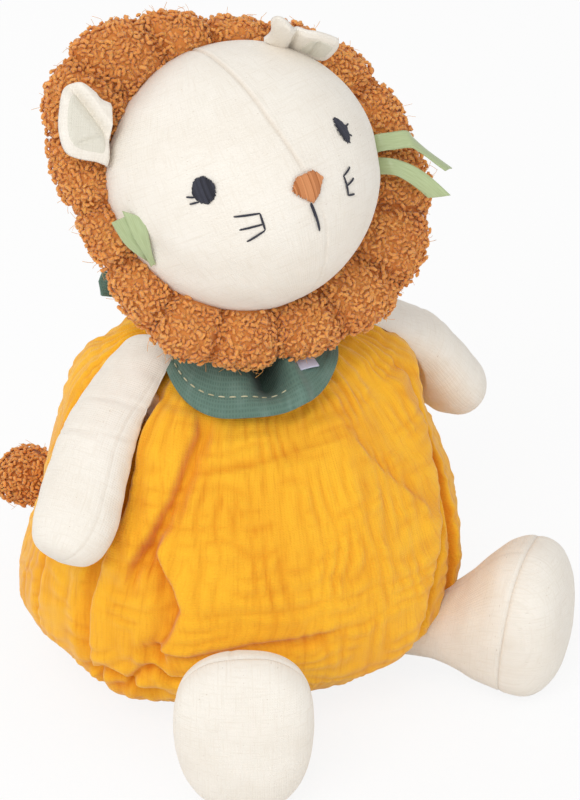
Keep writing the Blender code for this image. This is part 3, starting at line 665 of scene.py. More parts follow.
def clothe(name: str, points: Array, matrix: Matrix, body: str, finish: Finish, *nodes: str,
           fill: float | None = None, **how: object) -> Piece:
    """Make a piece of one closed patch.

    Args:
        name: the piece's name.
        points: its grid, in a frame of its own.
        matrix: placement of that frame.
        body: body that it moves with.
        finish: its finish.
        nodes: solids that it stands for.
        fill: how full it is stuffed; not used.
        how: further settings of the patch.

    Returns:
        The piece.
    """
    fabric = Fabric(name)
    fabric.lay(placed(points, matrix), capped=True, **how)
    return dress(fabric, body, finish, *nodes, fill=fill)


def flap(name: str, points: Array, thickness: float, matrix: Matrix, body: str,
         finish: Finish, node: str) -> Piece:
    """Make a piece that is one flat strip of cloth, given by the grid of its middle."""
    fabric = Fabric(name)
    fabric.lay(placed(doubled(points, thickness, False), matrix), around=False, along=True)
    return dress(fabric, body, finish, node)


@dataclass(frozen=True)
class BoucleLoops:
    """Curls of boucle yarn that crowd into small nubs, with a few loose fibres."""

    yarn: float = 0.00064
    loop: float = 0.00070
    # Sweep in degrees and sideways wind of the three forms that a loop takes
    forms: tuple = ((135, 0.5), (105, -0.9), (165, 0.3))
    spacing: float = 0.00114
    nub: float = 0.0030
    nub_rise: float = 0.0013
    fibre: float = 0.00007
    fibre_length: float = 0.0036
    fibre_share: float = 0.10
    bends: int = 6
    sides: int = 4
    seed: int = 7

    def strand(self, path: Array, radius: float) -> tuple[Array, Array]:
        """Points and faces of a thin strand along a path, with both ends closed."""
        along = unit(np.gradient(path, axis=0))
        side = unit(np.cross(along, np.array([0.0, 1.0, 0.0])))
        spin = np.linspace(0, 2 * math.pi, self.sides, endpoint=False) + math.pi / 4
        ring = (np.cos(spin)[None, :, None] * side[:, None]
                + np.sin(spin)[None, :, None] * np.cross(along, side)[:, None]) * radius
        points = (path[:, None] + ring).reshape(-1, 3)
        numbers = np.arange(len(points)).reshape(len(path), self.sides)
        closed = np.concatenate([numbers, numbers[:, :1]], 1)
        quads = np.stack([closed[:-1, :-1], closed[:-1, 1:], closed[1:, 1:], closed[1:, :-1]],
                         -1).reshape(-1, 4)
        ends = numbers[[0, -1]]
        ends[0] = ends[0][::-1]
        return points, np.concatenate([quads, ends])

    def form(self, sweep_deg: float, wind: float) -> tuple[Array, Array, Array]:
        """Points, faces and painted shade shares of one loop that stands on the plane z = 0."""
        turn = np.radians(np.linspace(-sweep_deg / 2, sweep_deg / 2, self.bends))
        path = np.stack([np.sin(turn), wind * np.sin(1.5 * turn), np.cos(turn)], -1)
        path = path * self.loop + np.array([0.0, 0.0, self.loop * 0.15])
        points, quads = self.strand(path, self.yarn)
        # The loop is painted darker towards its foot, as shade
        height = points[:, 2] / (self.loop * 1.15 + self.yarn)
        return points, quads, 1 - smooth(height, -0.1, 0.8)

    def loose(self) -> tuple[Array, Array, Array]:
        """The same of one loose fibre that curls away from the plane z = 0."""
        share = np.linspace(0, 1, 5)
        path = np.stack([share ** 2 * 0.6, 0.25 * np.sin(4 * share), share], -1)
        points, quads = self.strand(path * self.fibre_length, self.fibre)
        return points, quads, np.zeros(len(points))

    def spots(self, points: Array, allowed: Array, spacing: float,
              chance: np.random.Generator) -> tuple[Array, Array, Array]:
        """Evenly spread places on a backing grid.

        Args:
            points: the backing, rows by columns, closed both ways.
            allowed: where loops may stand.
            spacing: least distance between two places.
            chance: seeded random source.

        Returns:
            Places, and the row and column of the backing's nearest point.
        """
        rows, columns = points.shape[:2]
        down = np.roll(points, -1, 0) - points
        over = np.roll(points, -1, 1) - points
        area = np.linalg.norm(np.cross(down, over), axis=-1) * allowed
        # A backing whose last row is far from its first isn't closed along its columns
        if np.linalg.norm(down[-1], axis=-1).max() > 0.02:
            area[-1] = 0
        wanted = int(area.sum() / spacing ** 2 * 5)
        picked = chance.choice(rows * columns, wanted, p=area.ravel() / area.sum())
        r, c = picked // columns, picked % columns
        s, t = chance.random((2, wanted, 1))
        spot = points[r, c] + s * down[r, c] + t * over[r, c]
        kept, taken = [], {}
        places = spot.tolist()
        cells = np.floor(spot / spacing).astype(int).tolist()
        steps = [(x, y, z) for x in (-1, 0, 1) for y in (-1, 0, 1) for z in (-1, 0, 1)]
        for k, (x, y, z) in enumerate(cells):
            near = [other for dx, dy, dz in steps
                    for other in taken.get((x + dx, y + dy, z + dz), ())]
            if all(math.dist(places[k], places[o]) >= spacing for o in near):
                taken.setdefault((x, y, z), []).append(k)
                kept.append(k)
        return spot[kept], r[kept], c[kept]

    def cover(self, fabrics: tuple[Fabric, ...], points: Array, normals: Array,
              allowed: Array, shade: Array) -> None:
        """Set loops all over a backing.

        Args:
            fabrics: where the loops are gathered, dealt out in turn.
            points: the backing's grid.
            normals: its outward normals.
            allowed: where loops may stand.
            shade: how deep each point of the backing lies in a tuck.
        """
        chance = np.random.default_rng(self.seed)
        nubs, _, _ = self.spots(points, allowed, self.nub, chance)
        spots, rows, columns = self.spots(points, allowed, self.spacing, chance)
        tree = kdtree.KDTree(len(nubs))
        for k, nub in enumerate(nubs):
            tree.insert(nub, k)
        tree.balance()
        away = spots - nubs[[tree.find(spot)[1] for spot in spots]]
        distance = np.linalg.norm(away, axis=1, keepdims=True) / (self.nub * 0.62)
        rise = np.clip(1 - distance ** 2, 0.0, 1.0)
        out = normals[rows, columns]
        count = len(spots)
        helper = chance.normal(size=(count, 3))
        spots = spots + out * (rise * self.nub_rise + helper[:, :1] * 0.00012)
        side = unit(np.cross(out, helper))
        up = out + away / self.nub * 1.3 + helper * 0.30
        up = unit(up - side * (up * side).sum(1, keepdims=True))
        turns = np.stack([side, np.cross(up, side), up], -1)
        turns = turns * chance.uniform(0.8, 1.2, (count, 1, 1))
        tones = 0.5 + 0.5 * noise_at(spots, self.nub * 2.2) + chance.normal(size=count) * 0.16
        tones = np.clip(tones, 0.0, 1.0)
        # Painted shade: loops between the nubs and deep in the tucks are darker
        depth = 0.34 * (1 - rise[:, 0]) + 0.6 * shade[rows, columns]
        kinds = chance.integers(0, len(self.forms), count)
        for kind, form in enumerate((*self.forms, None)):
            shape, quads, hollow = self.form(*form) if form else self.loose()
            mine = kinds == kind if form else chance.random(count) < self.fibre_share
            for number, fabric in enumerate(fabrics):
                dealt = mine & (np.arange(count) % len(fabrics) == number)
                # Painted shade of the loop's foot added to that of its place
                deep = np.clip(hollow[None] * 0.30 + depth[dealt][:, None], 0.0, 1.0)
                fabric.strew(shape, quads, spots[dealt], turns[dealt], deep, tones[dealt])


# The lion's pieces


@dataclass(frozen=True)
class Eye:
    """One embroidered eye. Places are azimuth and elevation on the head, in degrees."""

    side: str
    middle: tuple
    half: tuple
    lean_deg: float
    lashes: tuple


@dataclass(frozen=True)
class Head:
    """Stuffed linen head with its centre seam, face and neck."""

    width: float = 0.093
    depth: float = 0.097
    height: float = 0.091
    place: tuple = (-0.0102, -0.017, 0.1926)
    turn_deg: float = -14.5
    pitch_deg: float = -25.0
    tilt_deg: float = -14.5
    # Rows and columns of the cover's grid, and the shares where it ends at the poles
    cells: tuple = (170, 300)
    poles: tuple = (0.012, 0.988)
    # How much closer together the columns stand at the face
    gathered: float = 0.55
    swells: tuple = (Swell(0.022, 3.1, 0.0004), Swell(0.007, 8.4, 0.00012))
    seam_width: float = 0.0007
    seam_depth: float = 0.0005
    seam_shade: float = 0.35
    lip_rise: float = 0.00022
    # Azimuth and elevation in degrees, depth and reach
    dents: tuple = (
        (-70, -13, 0.0016, 0.006), (-60, -30, 0.0009, 0.009), (66, -12, 0.0007, 0.006),
        (40, 56, 0.0009, 0.007), (-48, 40, 0.0006, 0.006), (-80, 24, -0.0024, 0.017),
    )
    eyes: tuple = (
        Eye("right", (-35.3, 4.1), (0.0037, 0.0045), 0.0,
            (((-39.6, 2.6), (-43.3, 4.1)), ((-39.0, 0.4), (-43.1, 0.9)))),
        Eye("left", (30.6, 4.0), (0.0021, 0.0047), 10.0,
            (((32.2, 4.4), (36.6, 5.2)), ((32.2, 1.8), (35.2, 0.0)),
             ((30.4, -0.4), (32.4, -2.2)))),
    )
    # Start and end in degrees, radius and tone of each stitch
    mouth: tuple = (((3.5, -17.9), (5.1, -31.4), 0.00048, 0.4),
                    ((3.1, -18.4), (4.0, -24.6), 0.00040, 0.7))
    # Outer end, then the inner end that joins the others, of each whisker
    whiskers: tuple = (
        ("right", (((-28.6, -10.4), (-18.3, -13.2)), ((-28.9, -16.4), (-18.6, -18.0)),
                   ((-28.0, -22.5), (-18.9, -20.8)))),
        ("left", (((27.6, -11.0), (22.7, -13.3)), ((28.6, -16.1), (23.6, -17.8)),
                  ((27.8, -22.7), (23.6, -21.9)))),
    )
    # Pitch and radius of satin stitches
    eye_satin: tuple = (0.00042, 0.00032)
    nose_satin: tuple = (0.00044, 0.00036)
    nose_place: tuple = (4.3, -11.2)
    nose_half: tuple = (0.0056, 0.0050)
    nose_crown: float = 0.0007
    lash: float = 0.00033
    whisker: float = 0.00038
    neck_place: tuple = (-0.001, -0.005, 0.1271)
    neck_cells: tuple = (24, 48)
    # Radius and height of the neck
    neck: tuple = ((0.0165, 0.0), (0.0165, 0.0071), (0.018, 0.0142), (0.0157, 0.0232),
                   (0.009, 0.0298), (0.002, 0.0321))

    def frame(self) -> Matrix:
        """Placement of the head: turned, looking up and tilted to its right."""
        turn = Euler((0.0, 0.0, math.radians(self.turn_deg))).to_matrix()
        pitch = Euler((math.radians(self.pitch_deg), 0.0, 0.0)).to_matrix()
        tilt = Euler((0.0, math.radians(self.tilt_deg), 0.0)).to_matrix()
        return Matrix.Translation(self.place) @ (turn @ pitch @ tilt).to_4x4()

    def at(self, azimuth: Array, elevation: Array, lift: Array | float = 0.0) -> Array:
        """Places on the head in its own frame.

        Args:
            azimuth: angles round the head from its front, in radians.
            elevation: angles up from its equator.
            lift: distance off the linen.

        Returns:
            The places.
        """
        size = np.array([self.width, self.depth, self.height])
        point = np.stack([
            np.sin(azimuth) * np.cos(elevation), -np.cos(azimuth) * np.cos(elevation),
            np.sin(elevation) + 0 * azimuth,
        ], -1) * size / 2
        return point + unit(point / size ** 2) * np.asarray(lift)[..., None]

    def seam_azimuth(self, elevation: Array) -> Array:
        """Where the centre seam runs at an elevation, in radians."""
        return np.interp(np.degrees(elevation), (-60, -30, -2, 12, 22, 40, 60, 90),
                         np.radians((9.0, 9.5, 4.5, 2.2, 0.6, -0.4, -1.8, -2.0)))

    def build_linen(self) -> None:
        """Build the head cover with its seam and soft dents."""
        share, turn = grid(*self.cells, *self.poles)
        azimuth = turn - self.gathered * np.sin(turn)
        elevation = (share - 0.5) * math.pi
        plain_form = self.at(azimuth, elevation)
        off = (azimuth - self.seam_azimuth(elevation)) * np.cos(elevation) * self.width / 2
        faint = 1 - 0.65 * smooth(-elevation, -0.02, 0.1)
        groove = bell(off, self.seam_width) * faint
        lip = bell(off - 1.6 * self.seam_width, self.seam_width) * faint
        lift = sum(swell.on(plain_form) for swell in self.swells)
        lift += lip * self.lip_rise - groove * self.seam_depth
        for dent_azimuth, dent_elevation, depth, reach in self.dents:
            spot = self.at(np.radians(float(dent_azimuth)), np.radians(float(dent_elevation)))
            lift -= bell(np.linalg.norm(plain_form - spot, axis=-1), reach) * depth
        clothe("head_linen", self.at(azimuth, elevation, lift), self.frame(), "head", LINEN,
               "head_cover", "head_filling", fill=0.9, hollow=groove * self.seam_shade)

    def patch_rows(self, middle: tuple, half: tuple, lean_deg: float, pitch: float,
                   outline: object, seed: int) -> list[Array]:
        """Paths of the satin stitches that fill an outline.

        Args:
            middle: azimuth and elevation of its centre, in degrees.
            half: half width and half height.
            lean_deg: how far it leans.
            pitch: distance between stitches.
            outline: gives the low and high end of the stitch at a share across.
            seed: source of each stitch's small unevenness.

        Returns:
            Paths in the head's own frame.
        """
        chance = np.random.default_rng(seed)
        lean = math.radians(lean_deg)
        azimuth, elevation = (math.radians(angle) for angle in middle)
        bow = np.sin(np.linspace(0, math.pi, 12)) ** 0.5
        paths = []
        for across in np.linspace(-1, 1, int(2 * half[0] / pitch) + 1):
            low, high = outline(across)
            low += chance.normal() * 0.03
            high += chance.normal() * 0.03
            rise = np.linspace(low, high, 12) * half[1]
            side = np.full(12, across * half[0]) + chance.normal() * pitch * 0.12
            turned = side * math.cos(lean) - rise * math.sin(lean)
            raised = side * math.sin(lean) + rise * math.cos(lean)
            paths.append(self.at(
                azimuth + turned / (self.width / 2 * math.cos(elevation)),
                elevation + raised / (self.height / 2), 0.0002 + bow * 0.0006))
        return paths

    def stroke(self, fabric: Fabric, start: tuple, end: tuple, radius: float,
               tone: float = 0.5) -> None:
        """Lay one straight stitch between two places on the face, in degrees."""
        share = np.linspace(0, 1, 14)
        azimuth, elevation = (np.radians(a + (b - a) * share) for a, b in zip(start, end))
        bow = np.sin(share * math.pi) ** 0.4
        ring = tube(self.at(azimuth, elevation, 0.00005 + bow * 0.0004),
                    radius * (0.55 + 0.45 * bow), 8, 0.7)
        fabric.lay(placed(ring, self.frame()), capped=True, tone=tone)

    def fill(self, fabric: Fabric, paths: list[Array], radius: float, seed: int) -> None:
        """Lay satin stitches along their paths."""
        chance = np.random.default_rng(seed)
        swell = 0.6 + 0.4 * np.sin(np.linspace(0, 1, len(paths[0])) * math.pi) ** 0.3
        for path in paths:
            ring = tube(path, radius * swell, 6, 0.75)
            fabric.lay(placed(ring, self.frame()), capped=True, tone=chance.random())

    def build_eye(self, eye: Eye) -> None:
        """Build a satin-stitched eye with its lashes."""
        def ends(across: float) -> tuple[float, float]:
            """Low and high end of the stitch at a share across."""
            reach = math.sqrt(max(0.0, 1 - (across * 0.98) ** 2))
            return -reach, reach

        fabric = Fabric(f"eye_{eye.side}_stitches")
        pitch, radius = self.eye_satin
        paths = self.patch_rows(eye.middle, eye.half, eye.lean_deg, pitch, ends, 11)
        self.fill(fabric, paths, radius, 5)
        for start, end in eye.lashes:
            self.stroke(fabric, start, end, self.lash)
        dress(fabric, "head", DARK_THREAD, f"eye_{eye.side}")

    def build_nose(self) -> None:
        """Build the satin-stitched nose, a rounded triangle with its point down."""
        def ends(across: float) -> tuple[float, float]:
            """Low and high end of the stitch at a share across."""
            low = -1.0 + 1.15 * abs(across) ** 1.6
            high = 0.92 - 0.55 * max(0.0, abs(across) - 0.50) ** 1.5 / 0.3
            return low, max(low + 0.1, high)

        fabric = Fabric("nose_stitches")
        pitch, radius = self.nose_satin
        paths = self.patch_rows(self.nose_place, self.nose_half, 0.0, pitch, ends, 3)
        crown = np.sin(np.linspace(0, math.pi, len(paths))) ** 0.6 * self.nose_crown
        raised = [path * (1 + rise / np.linalg.norm(path, axis=1, keepdims=True))
                  for path, rise in zip(paths, crown)]
        self.fill(fabric, raised, radius, 8)
        dress(fabric, "head", NOSE_THREAD, "nose")

    def build_strokes(self) -> None:
        """Build the mouth and whiskers in dark thread."""
        mouth = Fabric("mouth_stitch")
        for stitch in self.mouth:
            self.stroke(mouth, *stitch)
        dress(mouth, "head", DARK_THREAD, "mouth")
        for side, lines in self.whiskers:
            fabric = Fabric(f"whiskers_{side}_stitches")
            for start, end in (*lines, (lines[0][1], lines[-1][1])):
                self.stroke(fabric, start, end, self.whisker)
            dress(fabric, "head", DARK_THREAD, f"whiskers_{side}")

    def build(self) -> None:
        """Build the head, its face and the neck."""
        self.build_linen()
        for eye in self.eyes:
            self.build_eye(eye)
        self.build_nose()
        self.build_strokes()
        share, angle = grid(*self.neck_cells)
        radius, height = np.moveaxis(on_curve(self.neck, share), -1, 0)
        clothe("neck_linen", oval(radius, radius, angle, height),
               Matrix.Translation(self.neck_place), "neck", LINEN, "neck", fill=0.8)


@dataclass(frozen=True)
class Mane:
    """Padded boucle ring, gathered by tucks round the back of the face."""

    head: Head
    # Points round the ring's section and round the face
    cells: tuple = (64, 360)
    radius: float = 0.0645
    # How much the outline bulges between the tucks
    ease: float = 0.0008
    # Share of the radius and direction of the outline's first four waves
    swell: tuple = ((0.045, -91.0), (0.092, -99.0), (0.046, -1.0), (0.040, 153.0))
    thickness: float = 0.019
    back: float = 0.0035
    # Under the right cheek the ring lies further forward
    forward: float = 0.0030
    forward_deg: tuple = (-118.0, 42.0)
    tucks: int = 16
    tuck_width: float = 0.0026
    tuck_depth: float = 0.0028
    # Share of the thickness that a tuck takes
    tuck_thins: float = 0.38
    bite: float = 0.005
    # How far the loops' feet and the cloth between them lie under the ring's outline
    pile: float = 0.0024
    cloth: float = 0.0019

    def backing(self) -> tuple[Array, Array]:
        """Backing of the ring and how deep each point lies in a tuck."""
        rows, columns = self.cells
        section, angle = grid(rows, columns, -math.pi, math.pi - 2 * math.pi / rows)
        outer = np.full_like(angle, self.radius)
        for waves, (share, turn) in enumerate(self.swell, start=1):
            outer += self.radius * share * np.cos(waves * angle - math.radians(turn))
        phase = (angle * self.tucks / (2 * math.pi) - 0.5) % 1.0
        from_tuck = np.minimum(phase, 1 - phase) * 2 * math.pi / self.tucks * self.radius
        tuck = np.exp(-from_tuck / self.tuck_width)
        outer += self.ease - self.tuck_depth * tuck
        inner = min(self.head.width, self.head.height) / 2 - self.bite
        across = (outer - inner) / 2
        radius = inner + across + across * np.cos(section)
        middle, reach = self.forward_deg
        back = self.back - bell(within_turn(np.degrees(angle) - middle), reach) * self.forward
        depth = back + np.sin(section) * self.thickness / 2 * (1 - self.tuck_thins * tuck)
        return np.stack([radius * np.cos(angle), depth, radius * np.sin(angle)], -1), tuck

    def build(self) -> None:
        """Build the mane."""
        points, tuck = self.backing()
        out = outward(points)
        size = np.array([self.head.width, self.head.depth, self.head.height])
        clear = np.linalg.norm(points / size * 2, axis=-1) > 1.0
        frame = self.head.frame()
        fabrics = tuple(Fabric(name) for name in (
            "mane_boucle", "mane_boucle_curls", "mane_boucle_fringe"))
        # The backing cloth under the loops is painted darker as shade, most in the tucks
        fabrics[0].lay(placed(points - out * self.cloth, frame), along=True,
                       hollow=0.50 + 0.5 * tuck, tone=0.6)
        BoucleLoops().cover(
            fabrics, placed(points - out * self.pile, frame), out @ np.array(frame)[:3, :3].T,
            clear & (tuck < 0.95), np.clip(tuck - 0.35, 0, 1))
        dress(fabrics[0], "head", BOUCLE, "mane", fill=0.6)
        for fabric in fabrics[1:]:
            dress(fabric, "head", BOUCLE)


@dataclass(frozen=True)
class EarShape:
    """One ear: angles of its root and lean, and its outline and folds in its own frame.

    Outlines and folds are in millimetres, across and outward.
    """

    side: str
    azimuth_deg: float
    lean_deg: float
    fold_deg: float
    forward: float
    outline: tuple
    lining: tuple
    middle: tuple
    valley: tuple
    rim_rise: float
    crease: tuple
    lean: float = 0.0
    root: float = -20.0


@dataclass(frozen=True)
class Ears:
    """Linen ears, pinched and folded forward, each with a smooth lining."""

    head: Head
    # Rows and columns of a panel's grid, and the share where it starts
    cells: tuple = (26, 120)
    start: float = 0.04
    thickness: float = 0.0045
    cloth: float = 0.0020
    lining_cloth: float = 0.0009
    # How far the cover and the lining lie in front of the ear's plane, in millimetres
    cover_front: float = 0.6
    lining_front: float = 0.95
    shapes: tuple = (
        EarShape(
            "right", -48.0, -63.0, 4.0, 0.0105,
            ((6.4, 0.0), (8.1, 6.9), (10.3, 9.5), (12.5, 13.2), (12.9, 15.6), (12.0, 18.0),
             (9.1, 20.2), (2.6, 20.9), (-2.3, 20.8), (-7.3, 19.5), (-10.4, 17.4),
             (-11.6, 13.8), (-12.1, 8.2), (-11.8, 0.0)),
            ((8.0, 14.2), (5.0, 11.0), (0.2, 6.9), (-2.8, 4.6), (-9.9, 4.6), (-10.3, 8.4),
             (-9.8, 13.0), (-8.6, 16.0), (-6.0, 18.0), (-2.0, 19.0), (3.0, 19.2),
             (7.8, 18.6), (10.0, 17.0), (9.8, 15.6)),
            (-1.5, 6.0), ((9.5, 15.7), (-2.3, 4.9)), 2.8, ((-6.7, 13.5), (-4.2, 7.3)),
            root=3.6,
        ),
        EarShape(
            "left", 41.0, 38.0, 50.0, 0.0190,
            ((-10.6, -4.6), (-10.8, 1.4), (-13.8, 8.6), (-12.8, 12.4), (-9.0, 11.6),
             (-4.9, 7.9), (-2.8, 8.8), (1.4, 10.8), (7.4, 10.8), (10.2, 9.2), (11.6, 3.0),
             (11.2, -4.6), (6.0, -5.0), (-4.0, -5.0)),
            ((0.6, -2.0), (0.8, 4.0), (1.8, 8.0), (4.8, 9.4), (8.0, 8.6), (9.9, 6.0),
             (10.2, 0.0), (9.2, -2.4), (5.0, -3.0), (2.6, -2.8), (1.6, -2.6), (1.0, -2.4),
             (0.8, -2.2), (0.7, -2.1)),
            (-0.4, -1.0), ((-3.8, 5.6), (-1.8, -3.0)), 2.2, ((4.0, 6.0), (5.0, -2.0)), 0.5,
        ),
    )

    def frame(self, shape: EarShape) -> Matrix:
        """Placement of an ear: local Z out from the head and local Y to the back."""
        azimuth, lean, fold = (math.radians(angle) for angle in (
            shape.azimuth_deg, shape.lean_deg, shape.fold_deg))
        girth = math.sqrt(1 - (shape.forward / (self.head.depth / 2)) ** 2)
        root = Vector((math.sin(azimuth) * self.head.width / 2 * girth, -shape.forward,
                       math.cos(azimuth) * self.head.height / 2 * girth))
        root += Vector((math.sin(azimuth), 0.0, math.cos(azimuth))) * (
            self.thickness / 2 + 0.0006)
        out = Vector((math.sin(lean) * math.cos(fold), -math.sin(fold),
                      math.cos(lean) * math.cos(fold)))
        return self.head.frame() @ placement(root, out, Vector((0.0, 1.0, 0.0)))

    def relief(self, shape: EarShape, x: Array, z: Array) -> Array:
        """How far an ear's face stands forward, in millimetres."""
        def beside(line: tuple) -> tuple[Array, Array]:
            """Distance from a line, and a share that fades out past its two ends."""
            (ax, az), (bx, bz) = line
            run = math.hypot(bx - ax, bz - az)
            across = ((x - ax) * (bz - az) - (z - az) * (bx - ax)) / run
            along = ((x - ax) * (bx - ax) + (z - az) * (bz - az)) / run
            fade = smooth(along, -4.0, 1.0) * (1 - smooth(along, run - 1.0, run + 4.0))
            return across, fade

        off, fade = beside(shape.valley)
        away = -off if shape.side == "right" else off
        rim = shape.rim_rise * smooth(away, -0.6, 2.8) * np.exp(-np.maximum(away - 3, 0) / 7)
        lift = rim + 1.5 * smooth(-away, 0.0, 4.0) - 1.1 * bell(away, 0.8) * fade
        off, fade = beside(shape.crease)
        return lift - (0.9 * bell(off, 0.9) + 0.5 * bell(off - 2.5, 2.0)) * fade

    def build_panel(self, shape: EarShape, name: str, finish: Finish, node: str,
                    outline: tuple, middle: tuple, front: float, cloth: float,
                    fill: float | None = None) -> None:
        """Build an ear's cover or lining.

        Args:
            shape: the ear.
            name: the piece's name.
            finish: its finish.
            node: solid that it stands for.
            outline: corners in millimetres.
            middle: where its grid starts.
            front: how far in front of the ear's plane it lies, in millimetres.
            cloth: how thick it is.
            fill: how full it is stuffed; not used.
        """
        rows, columns = self.cells
        rim = on_curve((*outline, outline[0]), np.linspace(0, 1, columns + 1)[:-1])
        share = np.linspace(self.start, 1.0, rows)[:, None, None]
        flat = np.array(middle) + (rim[None] - np.array(middle)) * share
        x, z = flat[..., 0], flat[..., 1]
        roll = 0.9 * smooth(share[..., 0], 0.75, 1.0) ** 2
        y = -front - self.relief(shape, x, z) + roll - shape.lean * z
        # Below its root line the ear turns back into the seam
        under = np.maximum(0.0, shape.root - z)
        face = np.stack([x, y + 1.1 * under, z + 0.8 * under], -1) * MM
        both = np.concatenate([face, (face + np.array([0.0, cloth, 0.0]))[::-1]])
        clothe(name, both, self.frame(shape), f"ear_{shape.side}", finish, node, fill=fill,
               flat=both[..., ::2])

    def build(self) -> None:
        """Build both ears."""
        for shape in self.shapes:
            side, centre = shape.side, np.array(shape.lining).mean(0)
            self.build_panel(shape, f"ear_{side}_linen", LINEN, f"ear_{side}", shape.outline,
                             shape.middle, self.cover_front, self.cloth, 0.3)
            self.build_panel(shape, f"ear_{side}_lining_cotton", LINING, f"ear_lining_{side}",
                             shape.lining, centre, self.lining_front, self.lining_cloth)


@dataclass(frozen=True)
class Tab:
    """One satin tab: its middle line and the way its width lies, in the head's frame."""

    name: str
    path_mm: tuple
    broad: tuple
    slant: float
    root: float = 1.0


@dataclass(frozen=True)
class Ribbons:
    """Satin tabs that stand out from the face in front of the mane."""

    head: Head
    # Points along and across a tab
    cells: tuple = (44, 11)
    width: float = 0.0060
    thickness: float = 0.0005
    bow: float = 0.0004
    tabs: tuple = (
        Tab("ribbon_left_upper",
            ((42.2, -7.0, -7.4), (46.0, -11.6, -7.6), (50.4, -12.4, -8.8),
             (55.3, -12.6, -10.2), (57.2, -12.4, -12.4), (60.2, -12.2, -17.1),
             (63.4, -12.0, -22.0), (66.6, -12.0, -26.8)),
            ((0.15, 0.05, 1.0), (0.10, 0.1, 1.0), (0.15, 0.0, 1.0), (0.30, 0.10, 0.95),
             (0.50, 0.70, 0.45), (0.46, 0.81, 0.31), (0.46, 0.81, 0.31),
             (0.46, 0.81, 0.31)), 0.5),
        Tab("ribbon_left_lower",
            ((42.2, -6.4, -14.0), (46.4, -11.8, -16.4), (50.0, -12.4, -19.4),
             (53.2, -12.4, -23.0), (56.2, -12.2, -27.6), (60.0, -12.0, -35.0)),
            ((0.1, 0.1, 1.0), (0.15, 0.1, 1.0), (0.35, -0.05, 0.9), (0.55, -0.25, 0.7),
             (0.72, -0.4, 0.5), (0.75, -0.45, 0.45)), 0.9),
        Tab("ribbon_right_upper",
            ((-43.4, -8.6, -13.0), (-45.6, -12.2, -10.0), (-47.2, -13.8, -6.2),
             (-48.4, -14.4, -1.4), (-49.3, -14.6, 4.6)),
            ((0.9, -0.5, 0.1), (0.93, -0.45, 0.1), (0.96, -0.3, 0.12), (0.97, -0.2, 0.15),
             (0.97, -0.15, 0.15)), -0.15, 0.30),
        Tab("ribbon_right_lower",
            ((-43.8, -10.4, -14.4), (-44.8, -14.0, -9.6), (-45.3, -16.4, -4.4),
             (-45.3, -17.0, 0.6), (-45.2, -16.8, 6.6)),
            ((0.75, -0.6, 0.1),) * 5, -0.9, 0.30),
    )

    def build(self) -> None:
        """Build the four ribbons."""
        for tab in self.tabs:
            along = np.linspace(0, 1, self.cells[0])
            path = on_curve(tab.path_mm, along) * MM
            broad = unit(on_curve(tab.broad, along))
            across = np.linspace(-0.5, 0.5, self.cells[1])[None, :]
            end = smooth(along, 0.72, 1.0)[:, None] * abs(tab.slant) * self.width
            slant = end * (across * np.sign(tab.slant) - 0.5)
            wide = self.width * (tab.root + (1 - tab.root) * smooth(along, 0.0, 0.75))
            points = (path[:, None] + broad[:, None] * (across * wide[:, None])[..., None]
                      + unit(path[-1] - path[-2]) * slant[..., None])
            bow = unit(np.cross(np.gradient(path, axis=0), broad))
            points += bow[:, None] * (np.cos(across * math.pi) * self.bow)[..., None]
            flap(f"{tab.name}_satin", points, self.thickness, self.head.frame(), "head", SATIN,
                 tab.name)


@dataclass(frozen=True)
class Fold:
    """One fold line of the romper, by angle round it in degrees and height in millimetres."""

    path: tuple
    shape: FoldShape
    depth_mm: float
    width_mm: float
    reach_mm: float = 12.0
    upright: bool = True
    raised_side: int = 1
    overhang: float = 0.75
    shade: float = 1.0
    fade_out: float = 9.0

    def lift(self, angle: Array, height: Array, radius: Array) -> tuple[Array, Array, Array]:
        """How the fold moves the cloth.

        Args:
            angle: angles round the romper, in degrees.
            height: heights in millimetres.
            radius: the romper's radius there, in millimetres.

        Returns:
            Lift and sideways shift in millimetres, and the groove share that is painted as shade.
        """
        run, other = (1, 0) if self.upright else (0, 1)
        place = height if self.upright else angle
        path = np.array(sorted(self.path, key=lambda corner: corner[run]), float)
        line = np.interp(place, path[:, run], path[:, other])
        off = np.radians(within_turn(angle - line)) * radius if self.upright else height - line
        off = off * self.raised_side
        low, high = path[0, run], path[-1, run]
        fade = smooth(place, low - self.fade_out, low) * (
            1 - smooth(place, high, high + self.fade_out))
        width, depth = self.width_mm, self.depth_mm
        if self.shape is FoldShape.CREASE:
            lift = depth * (0.30 * bell(np.abs(off) - 2.2 * width, 1.5 * width)
                            - bell(off, width))
            # The crease's groove is painted as shade
            return lift * fade, 0 * lift, 0.8 * bell(off, 0.7 * width) * fade
        rise = 1 / (1 + np.exp(-5 * off / width))
        lift = depth * rise * np.exp(-np.maximum(off - width, 0) / self.reach_mm)
        lift -= 0.60 * depth * bell(off + 1.3 * width, 2.2 * width)
        lift += 0.45 * depth * smooth(-off, 2.0 * width, 5.0 * width) * np.exp(
            -np.maximum(-off - 5.0 * width, 0) / self.reach_mm)
        shift = -self.overhang * depth * bell(off - 0.7 * width, 1.6 * width)
        # Painted shade, darkest at the crevice, fading slowly over the low side and quickly over
        # the raised side
        beyond = off + 0.3 * width
        groove = bell(np.minimum(beyond, 0), 2.6 * width) * 0.6
        groove += bell(np.minimum(beyond, 0), 1.0 * width) * 0.4
        groove *= bell(np.maximum(beyond, 0), 0.6 * width) * self.shade
        return lift * fade, shift * fade * self.raised_side, groove * fade


def edge(path: tuple, depth_mm: float, width_mm: float, reach_mm: float,
         **how: object) -> Fold:
    """A raised edge along a line."""
    return Fold(path, FoldShape.EDGE, depth_mm, width_mm, reach_mm, **how)


